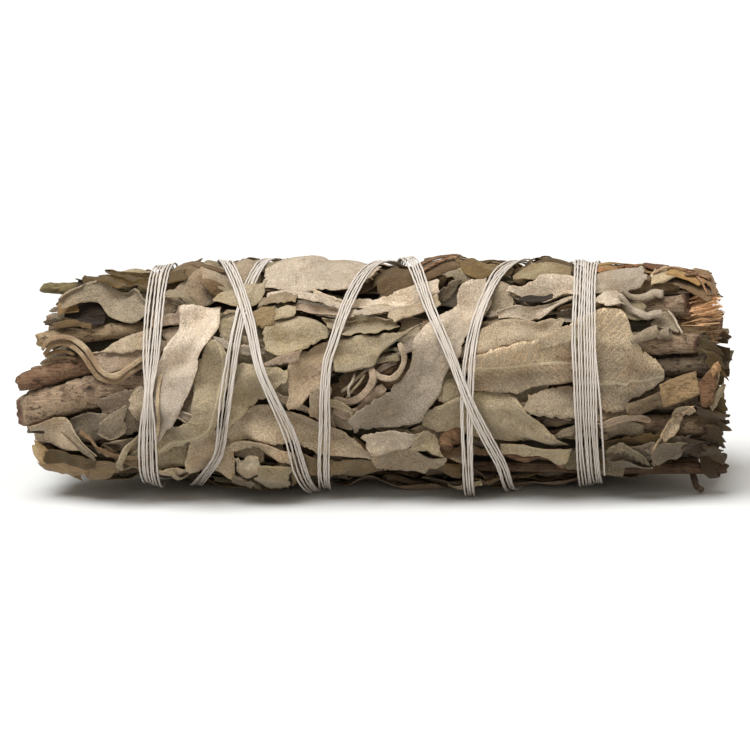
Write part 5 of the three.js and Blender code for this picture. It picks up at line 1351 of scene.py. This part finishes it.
# Each stalk: its finish, points, width, rises and what differs from a plain one.
LOW_STALKS = [
    ("pink", [(332, 400), (346, 402), (358, 397), (368, 388), (374, 378), (373, 368)], 1.0, (0.2, 0.7, 1.1, 0.7),
     dict(depth=1.5, shade=1.3, flat=0.7)),
    ("pink", [(334, 404), (348, 406), (362, 399), (371, 388), (377, 378)], 0.5, (0.1, 0.4, 0.6, 0.4),
     dict(depth=1.5, shade=0.9)),
    ("pink", [(331, 411), (344, 416), (358, 411), (372, 397), (384, 386)], 1.5, (0, 0.3, 0.3, 0),
     dict(depth=1.5, shade=1.15)),
    ("pale", [(402, 346), (406, 358), (402, 370), (392, 378), (380, 376), (374, 370)], 0.85, (0.6, 1.2, 1.2, 0.7, 0.2),
     dict(depth=1.2, shade=(0.9, 0.85, 0.78), flat=0.8)),
    ("green", [(382, 352), (390, 350), (400, 352)], 0.45, (0.2, 0.3, 0.2), dict(depth=1.8, shade=0.9)),
    ("green", [(380, 358), (390, 356), (401, 357)], 0.4, (0.2, 0.3, 0.2), dict(depth=1.8, shade=0.75)),
    ("pink", [(378, 372), (388, 366), (398, 362)], 0.9, (0, 0, 0), dict(depth=2.0, shade=0.6)),
    ("green", [(376, 362), (390, 360), (402, 360)], 0.9, (0, 0, 0), dict(depth=2.0, shade=0.8)),
    ("green", [(340, 392), (352, 383), (362, 374), (370, 368)], 0.4, (0.2, 0.5, 0.3), dict(depth=1.5, groove=0.2)),
    ("green", [(345, 398), (354, 388), (360, 382), (366, 374)], 0.35, (0.3, 0.7, 0.4), dict(depth=1.5, groove=0.2)),
    ("pale", [(349, 396), (350, 386), (354, 380), (356, 372)], 0.35, (0.3, 0.6, 0.4), dict(depth=1.5, groove=0.2)),
    ("green", [(168, 462), (174, 470), (182, 476), (192, 480)], 0.8, (0.1, 0.2, 0.1), dict(groove=0.6)),
    ("stem_red", [(420, 273), (440, 270), (462, 266)], 0.6, (0.2, 0.2, 0.2), dict(shade=1.8, groove=0.2)),
    ("stem_wood", [(418, 266), (450, 262), (480, 260)], 0.9, (0, 0, 0), dict(shade=0.8)),
    ("stem_red", [(455, 460), (480, 466), (520, 470), (560, 472)], 1.1, (0, 0, 0), dict(shade=1.2, groove=0.2)),
    ("stem_bark", [(540, 424), (570, 422), (604, 424)], 1.5, (0, 0, 0), dict(depth=1.2, shade=0.7)),
    ("stem_tan", [(540, 436), (575, 434), (606, 436)], 1.2, (0, 0, 0), dict(depth=1.2, shade=0.75)),
    ("stem_tan", [(32, 462), (60, 465), (90, 466)], 0.8, (0.2, 0.2, 0.2), dict(shade=1.1, groove=0.4)),
]
HIGH_STALKS = [
    ("brown", [(42, 348), (48, 340), (57, 336), (67, 336), (76, 340), (86, 348), (94, 359), (101, 369), (109, 374),
               (117, 374), (127, 368), (138, 361), (148, 357)], 0.8, (0.5, 0.9, 1.2, 1.1, 0.8, 0.5, 0.3, 0.2, 0.2, 0),
     dict(depth=None, shade=(2.15, 2.45, 3.0), flat=0.8, groove=0.4)),
    ("brown", [(43, 353), (50, 346), (59, 342), (68, 343), (76, 348), (84, 356), (91, 366), (98, 375), (108, 379),
               (118, 379), (129, 373), (140, 366), (150, 361)], 0.72, (0.3, 0.6, 0.9, 0.8, 0.5, 0.3, 0.2, 0.1, 0.1, 0),
     dict(depth=None, shade=(1.8, 2.0, 2.35), flat=0.8, groove=0.4)),
    ("brown", [(44, 355), (54, 350), (66, 350), (74, 353)], 0.5, (0.2, 0.3, 0.2), dict(depth=None, groove=0.3, shade=1.3)),
    ("brown", [(42, 361), (56, 357), (68, 356), (76, 358)], 0.4, (0.2, 0.3, 0.2), dict(depth=None, groove=0.3, shade=0.7)),
    ("green", [(118, 462), (117, 452), (123, 443), (134, 440), (146, 438), (156, 436)], 0.95, (0.1, 0.3, 0.3, 0.2, 0), {}),
    ("green", [(118, 462), (124, 467), (134, 466)], 0.8, (0.1, 0.2, 0.1), {}),
    ("stem_wood", [(441, 447), (447, 443), (455, 444)], 2.5, (0.1, 0.1, 0), dict(shade=(0.75, 0.7, 0.65), flat=0.85, groove=0)),
    ("stem_tan", [(717, 366), (714, 378), (710, 394), (706, 408)], 0.35, (0.2, 0.2, 0.2, 0.2), dict(shade=1.5, groove=0)),
    ("pale", [(668, 304), (674, 312), (677, 322), (681, 331)], 0.28, (0.5, 0.6, 0.4, 0.2), dict(groove=0.2)),
    ("stem_wood", [(656, 277), (676, 273), (694, 277), (706, 288), (709, 296)], 0.35, (0.1, 0.1, 0.1), dict(depth=None, shade=1.4)),
    ("stem_wood", [(688, 279), (700, 280), (714, 283)], 0.8, (0, 0, 0), dict(depth=None, shade=1.1)),
    ("stem_wood", [(622, 270), (632, 268), (642, 270)], 0.6, (0, 0, 0), dict(depth=None, shade=(1.1, 0.85, 0.7))),
    ("pale", [(161, 372), (158, 388), (157, 405), (157, 420), (154, 436)], 0.55, (0.05, 0.1, 0.1, 0.1, 0),
     dict(depth=None, shade=(1.02, 0.97, 0.82), groove=0.3)),
    ("stem_tan", [(648, 446), (656, 438), (668, 426), (690, 408)], 0.35, (0.5, 0.5, 0.4, 0.3), dict(groove=0, shade=1.3)),
]


# Leaves rolled up on themselves: tone, points, width, rise at both ends, turns, angle of the free edge, shade.
ROLLS = [
    ("grey", [(629, 340), (640, 334), (650, 330), (657, 328)], 1.7, (0.2, 0.4), 1.5, -20, 0.78),
    ("grey", [(655, 334), (662, 331), (669, 331)], 1.5, (0.1, 0.3), 1.3, -40, 0.7),
    ("pale", [(621, 294), (640, 290), (655, 287), (665, 288)], 1.4, (0.2, 0.3), 1.4, -20, 0.8),
    ("pale", [(621, 302), (632, 306), (645, 311), (661, 309)], 1.15, (0.2, 0.4), 1.4, -20, 0.85),
]
ROLL_COLUMNS = 34


def lay_roll(points, wide, rise, turns, opening, shade, seed):
    """A leaf rolled into a tube; its spiral shows at the open ends."""
    route = through(seen(points), 40)
    t = np.linspace(0, 1, len(route))
    ground = read(blurred(highest_near(heap, 0.3), 0.4), route[:, 0], route[:, 1])
    height = ground + 0.4 * wide + rise[0] + (rise[1] - rise[0]) * t
    centre = place(route[:, 0], route[:, 1], height)
    _, side, out = frames_along(centre)
    way = np.linspace(0, 1, ROLL_COLUMNS)[None, :]
    a = math.radians(opening) + way * turns * math.tau
    r = 0.5 * wide * (1 - 0.5 * way) * (0.55 + 0.45 * soft_step(0, 0.8, t))[:, None]
    spots = np.stack([t[:, None] * 6 + 0 * way, way * 5 + 0 * t[:, None]], -1)
    r = r * (1 + 0.1 * layered(spots, 1.5, seed))
    grid = centre[:, None] + side[:, None] * (r * np.cos(a))[..., None] + out[:, None] * (0.85 * r * np.sin(a))[..., None]
    tint = np.ones(grid.shape[:2] + (4,))
    tint[..., :3] = (shade * (1 + 0.12 * hills(spots, 1.0, seed + 1)))[..., None]
    edge = np.minimum(way, 1 - way) * 8 + 0 * t[:, None]
    blade = np.stack([spots[..., 0], NO_RIB + spots[..., 1], edge], -1)
    return sheet(grid, 0.2 + 0 * r, tint, blade)


def lay_rolls():
    for number, (tone, points, wide, rise, turns, opening, shade) in enumerate(ROLLS):
        loose[tone].append(lay_roll(points, wide, rise, turns, opening, shade, 9800 + 20 * number))


# Flat pieces of split wood: finish, shade, share of bare wood, upper and lower edge.
PLANKS = [
    ("stem_tan", 0.55, 0.2, [(622, 405), (640, 400), (655, 394), (664, 389)], [(624, 416), (640, 413), (656, 409), (666, 406)]),
    ("stem_tan", (0.8, 0.76, 0.7), 0.75,
     [(657, 386), (668, 381), (680, 377), (693, 373)], [(660, 409), (672, 405), (686, 400), (699, 395)]),
    ("stem_wood", (0.5, 0.45, 0.42), 0.1, [(697, 384), (706, 373), (715, 366)], [(698, 408), (704, 409), (710, 405)]),
    ("stem_wood", (0.62, 0.6, 0.58), 0.8, [(707, 372), (711, 366), (716, 362)], [(710, 380), (713, 376), (718, 372)]),
]


def lay_planks():
    for number, (tone, shade, cut, upper, lower) in enumerate(PLANKS):
        plank = lay_leaf(seen_at_height(upper, (0.2, 0.2)), seen_at_height(lower, (0.2, 0.2)), shade, 9700 + 20 * number,
                         thick=0.5, waves=0.03, cup=0.0, ragged=0.05, notches=0.0, wrinkles=0.06, creases=0.03,
                         crumple=0.03, grip=1.1, sink=0.4)
        plank["tint"][:, 3] = cut  # how much of it is bare wood
        stem_stalks.setdefault(tone, []).append(plank)


# A bit of stalk that hangs out under the right end, as points in space.
HOOK = [(45.5, -4.4, 2.9), (46.0, -5.9, 1.9), (46.4, -6.7, 1.1), (47.2, -7.2, 0.75)]


def hook_part():
    line = through(HOOK, 24)
    ahead = np.gradient(line, axis=0)
    ahead /= np.linalg.norm(ahead, axis=1, keepdims=True)
    side = np.cross(ahead, [1.0, 0, 0.3])
    side /= np.linalg.norm(side, axis=1, keepdims=True)
    up = np.cross(side, ahead)
    a = np.linspace(0, math.tau, 13)[:-1][None, :]
    spots = np.stack([way_along(line)[:, None] + 0 * a, np.cos(a) + 0 * line[:, :1], np.sin(a) + 0 * line[:, :1]], -1)
    r = 0.46 * (1 + 0.16 * layered(spots, 0.9, 77))
    rings = line[:, None] + (r * np.cos(a))[..., None] * side[:, None] + (r * np.sin(a))[..., None] * up[:, None]
    tint = np.ones(rings.shape[:2] + (4,))
    tint[..., :3] = 0.5
    tint[..., 3] = 0
    return tube_part(rings, tint)


def lay_stalks(listed, seed):
    for number, (tone, points, wide, rise, look) in enumerate(listed):
        stalk = lay_stalk(points, wide, rise, seed + 10 * number, **look)
        if tone.startswith("stem_"):
            stem_stalks.setdefault(tone, []).append(stalk)
        else:
            loose[tone].append(stalk)


stem_stalks = {}

# %% Laying them


def lay_listed(leaf, seed, depth=0.0):
    return lay_leaf(seen(leaf["upper"], depth), seen(leaf["lower"], depth), leaf["shade"], seed, **leaf["look"])


top_strips = lay_fragments(
    44, 61, (-38, 33), (UNROLLED_RADIUS * 1.2, UNROLLED_RADIUS * 2.1), ("brown", "olive", "olive", "green"),
    length=(8, 18), width=(1.2, 3.2), shade=(0.6, 1.15), step=0.4, waves=0.12, creases=0.15, cup=0.15, grip=0.4,
)
for tone, parts in top_strips.items():
    loose.setdefault(tone, []).extend(parts)

for number, leaf in enumerate(UNDER_LEAVES):
    loose.setdefault(leaf["tone"], []).append(lay_listed(leaf, 4000 + 20 * number, depth=1.0))
lay_stalks(LOW_STALKS, 5500)
slivers = lay_fragments(
    70, 93, (-40, 44), (UNROLLED_RADIUS * -1.05, UNROLLED_RADIUS * 1.4), ("grey", "green", "brown", "pale", "pink"),
    length=(4, 11), width=(0.5, 1.6), shade=(0.6, 1.0), step=0.4, creases=0.15, cup=0.3,
)
for tone, parts in slivers.items():
    loose.setdefault(tone, []).extend(parts)

# %% [markdown]
# ## The leaves of the back
#
# The photograph doesn't show the back, so a rule covers it: rows of leaves, each row a little further
# round, with headings and sizes from a seeded stream. The same rule shapes the solids of the part, so
# each fine leaf lies where its solid does. Smaller leaves from a second stream lie under and between.

# %% Back leaves
BACK_ROWS, BACK_PER_ROW = 4, 3
BACK_FIRST, BACK_LAST = math.radians(143), math.radians(261)


def stream(seed):
    """Repeatable numbers from 0 to 1, the same as the ones that placed the solids."""
    state = seed
    while True:
        state = (state * 1664525 + 1013904223) % 2**32
        yield state / 2**32


def back_leaves():
    numbers = stream(52)
    draw = lambda: next(numbers)
    tones = ["grey", "green", "pale", "pink", "grey", "olive"]
    for row in range(BACK_ROWS):
        for k in range(BACK_PER_ROW):
            angle = BACK_FIRST + (BACK_LAST - BACK_FIRST) * row / (BACK_ROWS - 1)
            x = -28 + 27 * (k + (row % 2) * 0.35) + 5 * (draw() - 0.5)
            heading = math.radians(28 * (draw() - 0.5)) + (math.pi if draw() < 0.5 else 0)
            half = 13.5 + 4 * draw()
            s = UNROLLED_RADIUS * (angle + math.radians(8 * (draw() - 0.5)))
            width = 10 + 3 * draw()
            bow = 3 * (draw() - 0.5)
            pointed = draw() < 0.4
            tone = tones[int(draw() * len(tones))]
            x_from, x_to = (min(45, max(-44, x + way * half * math.cos(heading))) for way in (-1, 1))
            s_from, s_to = (s + way * half * math.sin(heading) for way in (-1, 1))
            length = math.hypot(x_to - x_from, s_to - s_from)
            turn = math.atan2(s_to - s_from, x_to - x_from)
            ends = (0.75, 0.12) if pointed else (0.3, 0.12)
            edges = edges_round((x_from + x_to) / 2, (s_from + s_to) / 2, length, width, turn, bow, ends)
            yield f"leaf_back_{row + 1}_{k + 1}", tone, edges


under_back = lay_fragments(
    70, 57, (-37, 37), (UNROLLED_RADIUS * 2.15, UNROLLED_RADIUS * 5.0), ("grey", "green", "olive", "brown", "pink"),
    length=(10, 20), width=(4, 7), shade=(0.75, 1.0), step=0.62, waves=0.25, creases=0.15,
)
for tone, parts in under_back.items():
    loose.setdefault(tone, []).extend(parts)

for number, (node, tone, edges) in enumerate(back_leaves()):
    blade = lay_leaf(*edges, 0.98, 6000 + 20 * number, step=0.5, waves=0.3, creases=0.12, rib=0.18, ragged=0.2)
    make_piece(f"{node}_blade", [blade], leaf_finishes[tone], f"leaf_{tone}", [node])
print("back leaves:", BACK_ROWS * BACK_PER_ROW)

# %% Front leaves
for number, leaf in enumerate(COVER_LEAVES):
    blade = lay_listed(leaf, 8000 + 20 * number)
    make_piece(f"{leaf['node']}_blade", [blade], leaf_finishes[leaf["tone"]], f"leaf_{leaf['tone']}", [leaf["node"]])
for number, leaf in enumerate(OVER_LEAVES):
    loose.setdefault(leaf["tone"], []).append(lay_listed(leaf, 9000 + 20 * number))
lay_stalks(HIGH_STALKS, 9500)
lay_planks()
lay_rolls()
stem_stalks.setdefault("stem_bark", []).append(hook_part())
for slot, parts in stem_stalks.items():
    make_piece(f"loose_{slot}", parts, stem_finishes[slot[5:]], slot)
print("front leaves:", len(COVER_LEAVES), "large and", len(UNDER_LEAVES) + len(OVER_LEAVES), "small")

# %% [markdown]
# ## The end faces
#
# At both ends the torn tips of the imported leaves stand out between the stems, shell within shell. Each
# is a short waved sheet bent round the axis. Where it would run through a stem it is pushed aside.

# %% Leaf tips at the ends
TIP_ROWS, TIP_COLUMNS = 18, 10
KEPT_ROWS = [0, 4, 8, 11, 13, 14, 15, 16, 17]  # few inside the bundle, all of them at the torn end


def pushed_aside(points):
    """Moves points out of the stems."""
    out = points - AXIS_OFFSET - [0, 0, AXIS_HEIGHT]
    for _, wide, _, path in STEMS:
        line = through(path, 120)
        line = line[np.argsort(line[:, 0])]
        middle = np.stack([np.interp(out[..., 0], line[:, 0], line[:, k]) for k in (1, 2)], -1)
        near = (out[..., 0] > line[0, 0] - 1.5) & (out[..., 0] < line[-1, 0] + 1.5)
        gap = out[..., 1:] - middle
        far = np.maximum(np.linalg.norm(gap, axis=-1), 1e-6)
        radius = wide / 2 + 0.35
        moved = middle + gap / far[..., None] * np.maximum(far, radius)[..., None]
        out[..., 1:] = np.where(near[..., None], moved, out[..., 1:])
    return out + AXIS_OFFSET + [0, 0, AXIS_HEIGHT]


def end_tips(face, way, count, seed, angles=(0.0, math.tau), shares=(0.02, 0.98), shades=(0.35, 0.9)):
    draw = np.random.default_rng(seed)
    tones = ("olive", "brown", "olive", "grey", "green", "brown")
    made = []
    for k in range(count):
        share = math.sqrt(draw.uniform(*shares))
        angle = draw.uniform(*angles)
        wide = draw.uniform(2.4, 6.4)
        point = draw.uniform(0.35, 1.0)
        out_by = draw.uniform(0.4, 5.4) * (0.75 + 0.25 * share)
        out_by *= 1 - 0.5 * (way < 0) * share * soft_step(0.05, 0.5, math.sin(angle - 0.1))
        depth = draw.uniform(5, 8)
        t = np.linspace(0, 1, TIP_ROWS)[:, None]
        w = np.linspace(-0.5, 0.5, TIP_COLUMNS)[None, :] * (1 - point * soft_step(0.45, 1.0, t))
        radius = (packing_radius(face, angle * UNROLLED_RADIUS) - 0.2) * share
        end = out_by + 0.7 * hills(np.stack([w * wide + 9 * k, 0 * w], -1), 1.1, seed + 3)
        x = face - way * depth + way * (depth + end) * t
        turn = angle + w * wide / max(radius, 3.0) + draw.uniform(-0.12, 0.12) * t
        spots = np.stack([x + 40 * k, 0 * x + w * wide], -1)
        r = radius + 0.55 * layered(spots, 2.6, seed + k) + draw.uniform(-0.6, 0.9) * (4 * w**2) + draw.uniform(-0.5, 0.5) * t
        plain = place(x, turn * UNROLLED_RADIUS, np.maximum(r, 0.6))
        grid = pushed_aside(plain)
        if np.mean(np.linalg.norm(grid - plain, axis=-1) > 0.15) > 0.2:
            continue
        tint = np.ones(grid.shape[:2] + (4,))
        tint[..., :3] = draw.uniform(*shades)
        rim = np.minimum.reduce([(0.5 - np.abs(w)) * wide + 0 * t, (1 - t) * (depth + end)])
        blade = np.stack([x, w * wide + 2.5 + 0 * t, rim], -1)
        thick = 0.24 * (0.6 + 0.4 * soft_step(0, 0.4, rim))
        tip = sheet(*(values[KEPT_ROWS] for values in (grid, thick, tint, blade)))
        made.append((tones[draw.integers(len(tones))], tip))
    return made


LOWER_FRONT = (-1.5, 0.1)
UPPER_BACK = (1.5, 3.0)
tips = []
for face, way, seed in ((-43.5, -1, 71), (45.5, 1, 72)):
    tips += end_tips(face, way, 130, seed)
    # The tips low at the front are darker, as painted shade, since the light comes from above.
    tips += end_tips(face, way, 100, seed + 10, LOWER_FRONT, (0.45, 1.0), (0.22, 0.7))
    tips += end_tips(face, way, 30, seed + 20, UPPER_BACK, (0.5, 1.0))
    tips += end_tips(face, way, 90, seed + 30, shares=(0.0, 0.3))
for tone, tip in tips:
    loose.setdefault(tone, []).append(tip)
print("tips at the ends:", len(tips))

# %% Splinters of the split stem
SPLINTERS = 300


def splinter_part(start, way, length, wide, shade, seed):
    """A thin torn fibre, wide at its foot and bent at its tip."""
    draw = np.random.default_rng(seed)
    t = np.linspace(0, 1, 8)
    bend = draw.normal(0, 0.05, 3)
    centre = start + t[:, None] * length * way + (t**2)[:, None] * length * bend
    ahead = np.gradient(centre, axis=0)
    ahead /= np.linalg.norm(ahead, axis=1, keepdims=True)
    side = np.cross(ahead, [0.1, 0.3, 1.0])
    side /= np.linalg.norm(side, axis=1, keepdims=True)
    up = np.cross(side, ahead)
    a = (np.arange(5) * math.tau / 5)[None, :]
    r = 0.5 * wide * (1 - 0.7 * t**3)[:, None]
    rings = centre[:, None] + (r * np.cos(a))[..., None] * side[:, None] + (0.4 * r * np.sin(a))[..., None] * up[:, None]
    tint = np.ones(rings.shape[:2] + (4,))
    tint[..., :3] = shade * draw.uniform(0.6, 1.3) * np.array([1, 1.06, 1.2])
    tint[..., 3] = draw.uniform(0.6, 1.0)
    return tube_part(rings, tint)


def splinters():
    draw = np.random.default_rng(404)
    _, wide, _, path = next(stem for stem in STEMS if stem[0] == "stem_right_split")
    cut = path[0] + AXIS_OFFSET + [0, 0, AXIS_HEIGHT]
    for k in range(SPLINTERS):
        angle, share = draw.uniform(0, math.tau), math.sqrt(draw.random())
        back = draw.uniform(0.3, 4.2)
        round_it = np.array([0.55 * wide * share * math.cos(angle), 0.66 * wide * share * math.sin(angle) + 1.5])
        foot = cut + [-back, round_it[0] - 0.5, round_it[1]]
        way = np.array([1.0, 0.1 * share * math.cos(angle) - 0.06, 0.1 * share * math.sin(angle) + draw.normal(0.16, 0.12)])
        reach = back * draw.uniform(0.5, 1.0) + draw.uniform(0.4, 2.4)
        reach = min(reach, (RIGHT_END - 0.6 - foot[0]))
        # Painted light and shade: fibres high on the cut are made brighter, and low ones darker.
        wide_by, shade = draw.uniform(0.3, 1.1), 0.6 + 1.3 * soft_step(0.2, 2.6, round_it[1])
        yield splinter_part(foot, way / np.linalg.norm(way), reach, wide_by, 1.2 * shade, 500 + k)


make_piece("split_wood_fibres", list(splinters()), stem_finishes["wood"], "stem_wood")

# %% Joining the small leaves by tone
core = make_piece("packed_core", [core_part()], leaf_finishes["olive"], "packing", ["packing_leaves"])
for tone, parts in loose.items():
    make_piece(f"small_leaves_{tone}", parts, leaf_finishes[tone], f"leaf_{tone}")
    print("small leaves,", tone, len(parts))

# %% [markdown]
# ## The thread
#
# The thread is cotton sewing thread of two plies, about a third of a millimetre thick. Each strand is its
# own tube here, with a waist that turns along it as the plies do, because the shadows between the strands
# are what makes the winding read as thread. It is drawn taut over the leaves: it touches the crests and
# spans the hollows.

# %% Strands
STRAND_SIDES = 8
TWIST_LENGTH = 1.3
PLY_WAIST = 0.16


def taut(under, closed, rounds=400):
    """Heights of a thread that rests on crests and spans the hollows between them."""
    height = under.copy()
    for _ in range(rounds):
        before, after = np.roll(height, 1), np.roll(height, -1)
        if not closed:
            before[0], after[-1] = height[0], height[-1]
        height = np.maximum(under, (before + after) / 2 - 0.0012)
    return height


def strand_part(route, height, closed, seed, wide=STRAND):
    """One twisted strand along a route at the given heights."""
    centre = place(route[:, 0], route[:, 1], height)
    _, side, out = frames_along(centre, closed)
    length = way_along(centre)
    turns = length / TWIST_LENGTH
    if closed:
        turns = turns / turns[-1] * round(turns[-1]) * len(turns[:-1]) / len(turns)
    a = np.linspace(0, math.tau, STRAND_SIDES + 1)[:-1][None, :]
    swell = 1 + 0.07 * hills(np.column_stack([length, 0 * length + seed]), 2.2, seed)[:, None]
    radius = 0.5 * wide * swell * (1 + PLY_WAIST * np.cos(2 * (a - math.tau * turns[:, None])))
    rings = centre[:, None] + radius[..., None] * (
        side[:, None] * np.cos(a)[..., None] + out[:, None] * np.sin(a)[..., None]
    )
    tint = np.ones(rings.shape[:2] + (4,))
    # Painted shade: each strand is darker at its waist, where its two plies meet.
    groove = 0.84 + 0.16 * np.cos(2 * (a - math.tau * turns[:, None]))
    tint[..., :3] = groove[..., None]
    if not closed:
        return tube_part(rings, tint)
    count, sides = rings.shape[:2]
    index = np.arange(count * sides).reshape(count, sides)
    after, around = np.roll(index, -1, 0), np.roll(index, -1, 1)
    beyond = np.roll(after, -1, 1)
    quads = np.stack([index, around, beyond, after], -1).reshape(-1, 4)
    return part(rings.reshape(-1, 3), quads, tint=tint.reshape(-1, 4))


def strands_along(route, count, closed, seed, pitch, spread_at=None):
    """A row of strands side by side, now tighter and now looser, and what they rest on."""
    global heap
    step = np.roll(route, -1, 0) - np.roll(route, 1, 0) if closed else np.gradient(route, axis=0)
    if closed:
        step[:, 1] = (step[:, 1] + LAP / 2) % LAP - LAP / 2
    step /= np.linalg.norm(step, axis=1, keepdims=True)
    aside = np.column_stack([-step[:, 1], step[:, 0]])
    far = way_along(route)
    loose_by = np.ones(len(route)) if spread_at is None else spread_at(route)
    base = blurred(highest_near(heap, 0.25), 0.2)
    made, tops = [], []
    for k in range(count):
        sway = 0.12 * hills(np.column_stack([far, 0 * far + 7 * k]), 9, seed + k)
        sway = sway + 0.2 * hills(np.column_stack([far, 0 * far + 9 * (k // 2)]), 14, seed + 31 + k // 2)
        if closed:
            fade = soft_step(0, 8, far) * soft_step(0, 8, far[-1] - far)
            sway = sway * fade
        off = (k - (count - 1) / 2) * pitch * loose_by + sway
        line = route + aside * off[:, None]
        under = read(base, line[:, 0], line[:, 1]) + 0.5 * STRAND
        stacked = 0.75 * STRAND * (k % 2) * (1 - soft_step(0.5, 0.85, loose_by))
        height = taut(under, closed) + stacked
        made.append(strand_part(line, height, closed, seed + 50 + k))
        tops.append((line, height + 0.5 * STRAND))
    for line, top in tops:
        for off in (-0.15, 0, 0.15):
            for share in (0, 0.5):
                x = line[:, 0] * (1 - share) + np.roll(line[:, 0], -1) * share
                s = line[:, 1] + share * ((np.roll(line[:, 1], -1) - line[:, 1] + LAP / 2) % LAP - LAP / 2)
                near = slice(None) if closed else slice(0, -1)
                np.maximum.at(heap, cell_of((x + off)[near], s[near]), top[near])
    return made


# %% Winding it
def left_spread(route):
    """The left band is drawn together a third of the way down its front."""
    angle = route[:, 1] / UNROLLED_RADIUS
    gap = np.angle(np.exp(1j * (angle - math.radians(2))))
    return 1.12 - 0.66 * np.exp(-((gap / 0.24) ** 2))


runs = strands_along(routes["run_back"], RUN_STRANDS, False, 940, RUN_PITCH)
tip = lay_listed(TIP_OVER_THREAD, 9900)
make_piece("leaf_tip_over_thread", [tip], leaf_finishes["green"], "leaf_green")
runs += strands_along(routes["run_out"], RUN_STRANDS, False, 960, RUN_PITCH)
bands = strands_along(routes["left_band"], LEFT_BAND["strands"], True, 900, BAND_PITCH, left_spread)
bands += strands_along(routes["right_band"], RIGHT_BAND["strands"], True, 920, BAND_PITCH)
stray = through(seen([(594, 350), (596, 385), (599, 420), (601, 452), (602, 474)]), 60)
bands += strands_along(stray, 1, False, 980, BAND_PITCH)
make_piece("thread_bands", bands, cotton, "cotton", ["cotton_thread"])
make_piece("thread_runs", runs, cotton, "cotton")
print("strands:", len(bands) + len(runs))

# %% [markdown]
# ## Floor, light and camera
#
# The bundle lies on a plain pale floor under a large soft light from above, with a little light from all
# round, so its underside stays dark. The camera has a long lens, 12 degrees above level and 8 degrees to
# the right of straight on, and is rolled until the bundle lies level in the picture.

# %% Stage
FLOOR_SIZE = 8.0


def make_floor():
    mesh = bpy.data.meshes.new("floor")
    h = FLOOR_SIZE / 2
    mesh.from_pydata([(-h, -h, 0), (h, -h, 0), (h, h, 0), (-h, h, 0)], [], [(0, 1, 2, 3)])
    floor = bpy.data.objects.new("floor", mesh)
    bpy.context.scene.collection.objects.link(floor)
    material = bpy.data.materials.new("pale_floor")
    material.use_nodes = True
    surface = material.node_tree.nodes["Principled BSDF"]
    surface.inputs["Base Color"].default_value = (0.64, 0.64, 0.635, 1)
    surface.inputs["Roughness"].default_value = 1.0
    surface.inputs["Specular IOR Level"].default_value = 0.0
    mesh.materials.append(material)


def soft_sun(name, azimuth, height, wide, strength, colour):
    """Even light from a wide patch of the sky: directions in degrees, azimuth 0 from the front."""
    light = bpy.data.lights.new(name, "SUN")
    light.angle = math.radians(wide)
    light.energy = strength
    light.color = colour
    a, e = math.radians(azimuth), math.radians(height)
    way = Vector((math.sin(a) * math.cos(e), -math.cos(a) * math.cos(e), math.sin(e)))
    lamp = bpy.data.objects.new(name, light)
    lamp.rotation_euler = way.to_track_quat("Z", "Y").to_euler()
    bpy.context.scene.collection.objects.link(lamp)


make_floor()
soft_sun("light_above", -35, 68, 45, 4.4, (0.968, 0.988, 1.0))
soft_sun("light_front", 20, 30, 60, 0.5, (1.0, 0.95, 0.88))
world = bpy.data.worlds.new("room")
world.use_nodes = True
world.node_tree.nodes["Background"].inputs["Color"].default_value = (1.0, 0.905, 0.77, 1)
world.node_tree.nodes["Background"].inputs["Strength"].default_value = 0.365
bpy.context.scene.world = world
bpy.context.scene.view_settings.view_transform = "Standard"
bpy.context.scene.view_settings.look = "None"

# %% Camera
CAMERA_DISTANCE = 1.2
SENSOR = 36.0
PICTURE_SIDE = 750
CAMERA_ROLL = math.radians(2.0)


def make_camera():
    camera = bpy.data.cameras.new("camera")
    camera.sensor_width = SENSOR
    camera.lens = SENSOR * CAMERA_DISTANCE / (PICTURE_SIDE / PICTURE_SCALE * MM)
    camera.clip_end = 20
    eye = bpy.data.objects.new("camera", camera)
    out = Vector((
        math.sin(VIEW_TURN) * math.cos(VIEW_TILT), -math.cos(VIEW_TURN) * math.cos(VIEW_TILT), math.sin(VIEW_TILT),
    ))
    right = Vector((math.cos(VIEW_TURN), math.sin(VIEW_TURN), 0))
    up = out.cross(right)
    middle = Vector(AXIS_OFFSET * MM) + Vector((0, 0, AXIS_HEIGHT * MM))
    aside = (PICTURE_SIDE / 2 - MIDDLE_ACROSS) / PICTURE_SCALE * MM
    lower = (PICTURE_SIDE / 2 - MIDDLE_DOWN) / PICTURE_SCALE * MM
    aim = middle + right * aside - up * lower
    eye.location = aim + out * CAMERA_DISTANCE
    turn = out.to_track_quat("Z", "Y").to_matrix().to_4x4()
    eye.rotation_euler = (turn @ Matrix.Rotation(-CAMERA_ROLL, 4, "Z")).to_euler()
    bpy.context.scene.collection.objects.link(eye)
    bpy.context.scene.camera = eye


make_camera()

# %% Sizes and the end
faces = sum(len(o.data.polygons) for o in bpy.context.scene.objects if o.type == "MESH" and not o.hide_render)
print("faces in all:", faces)
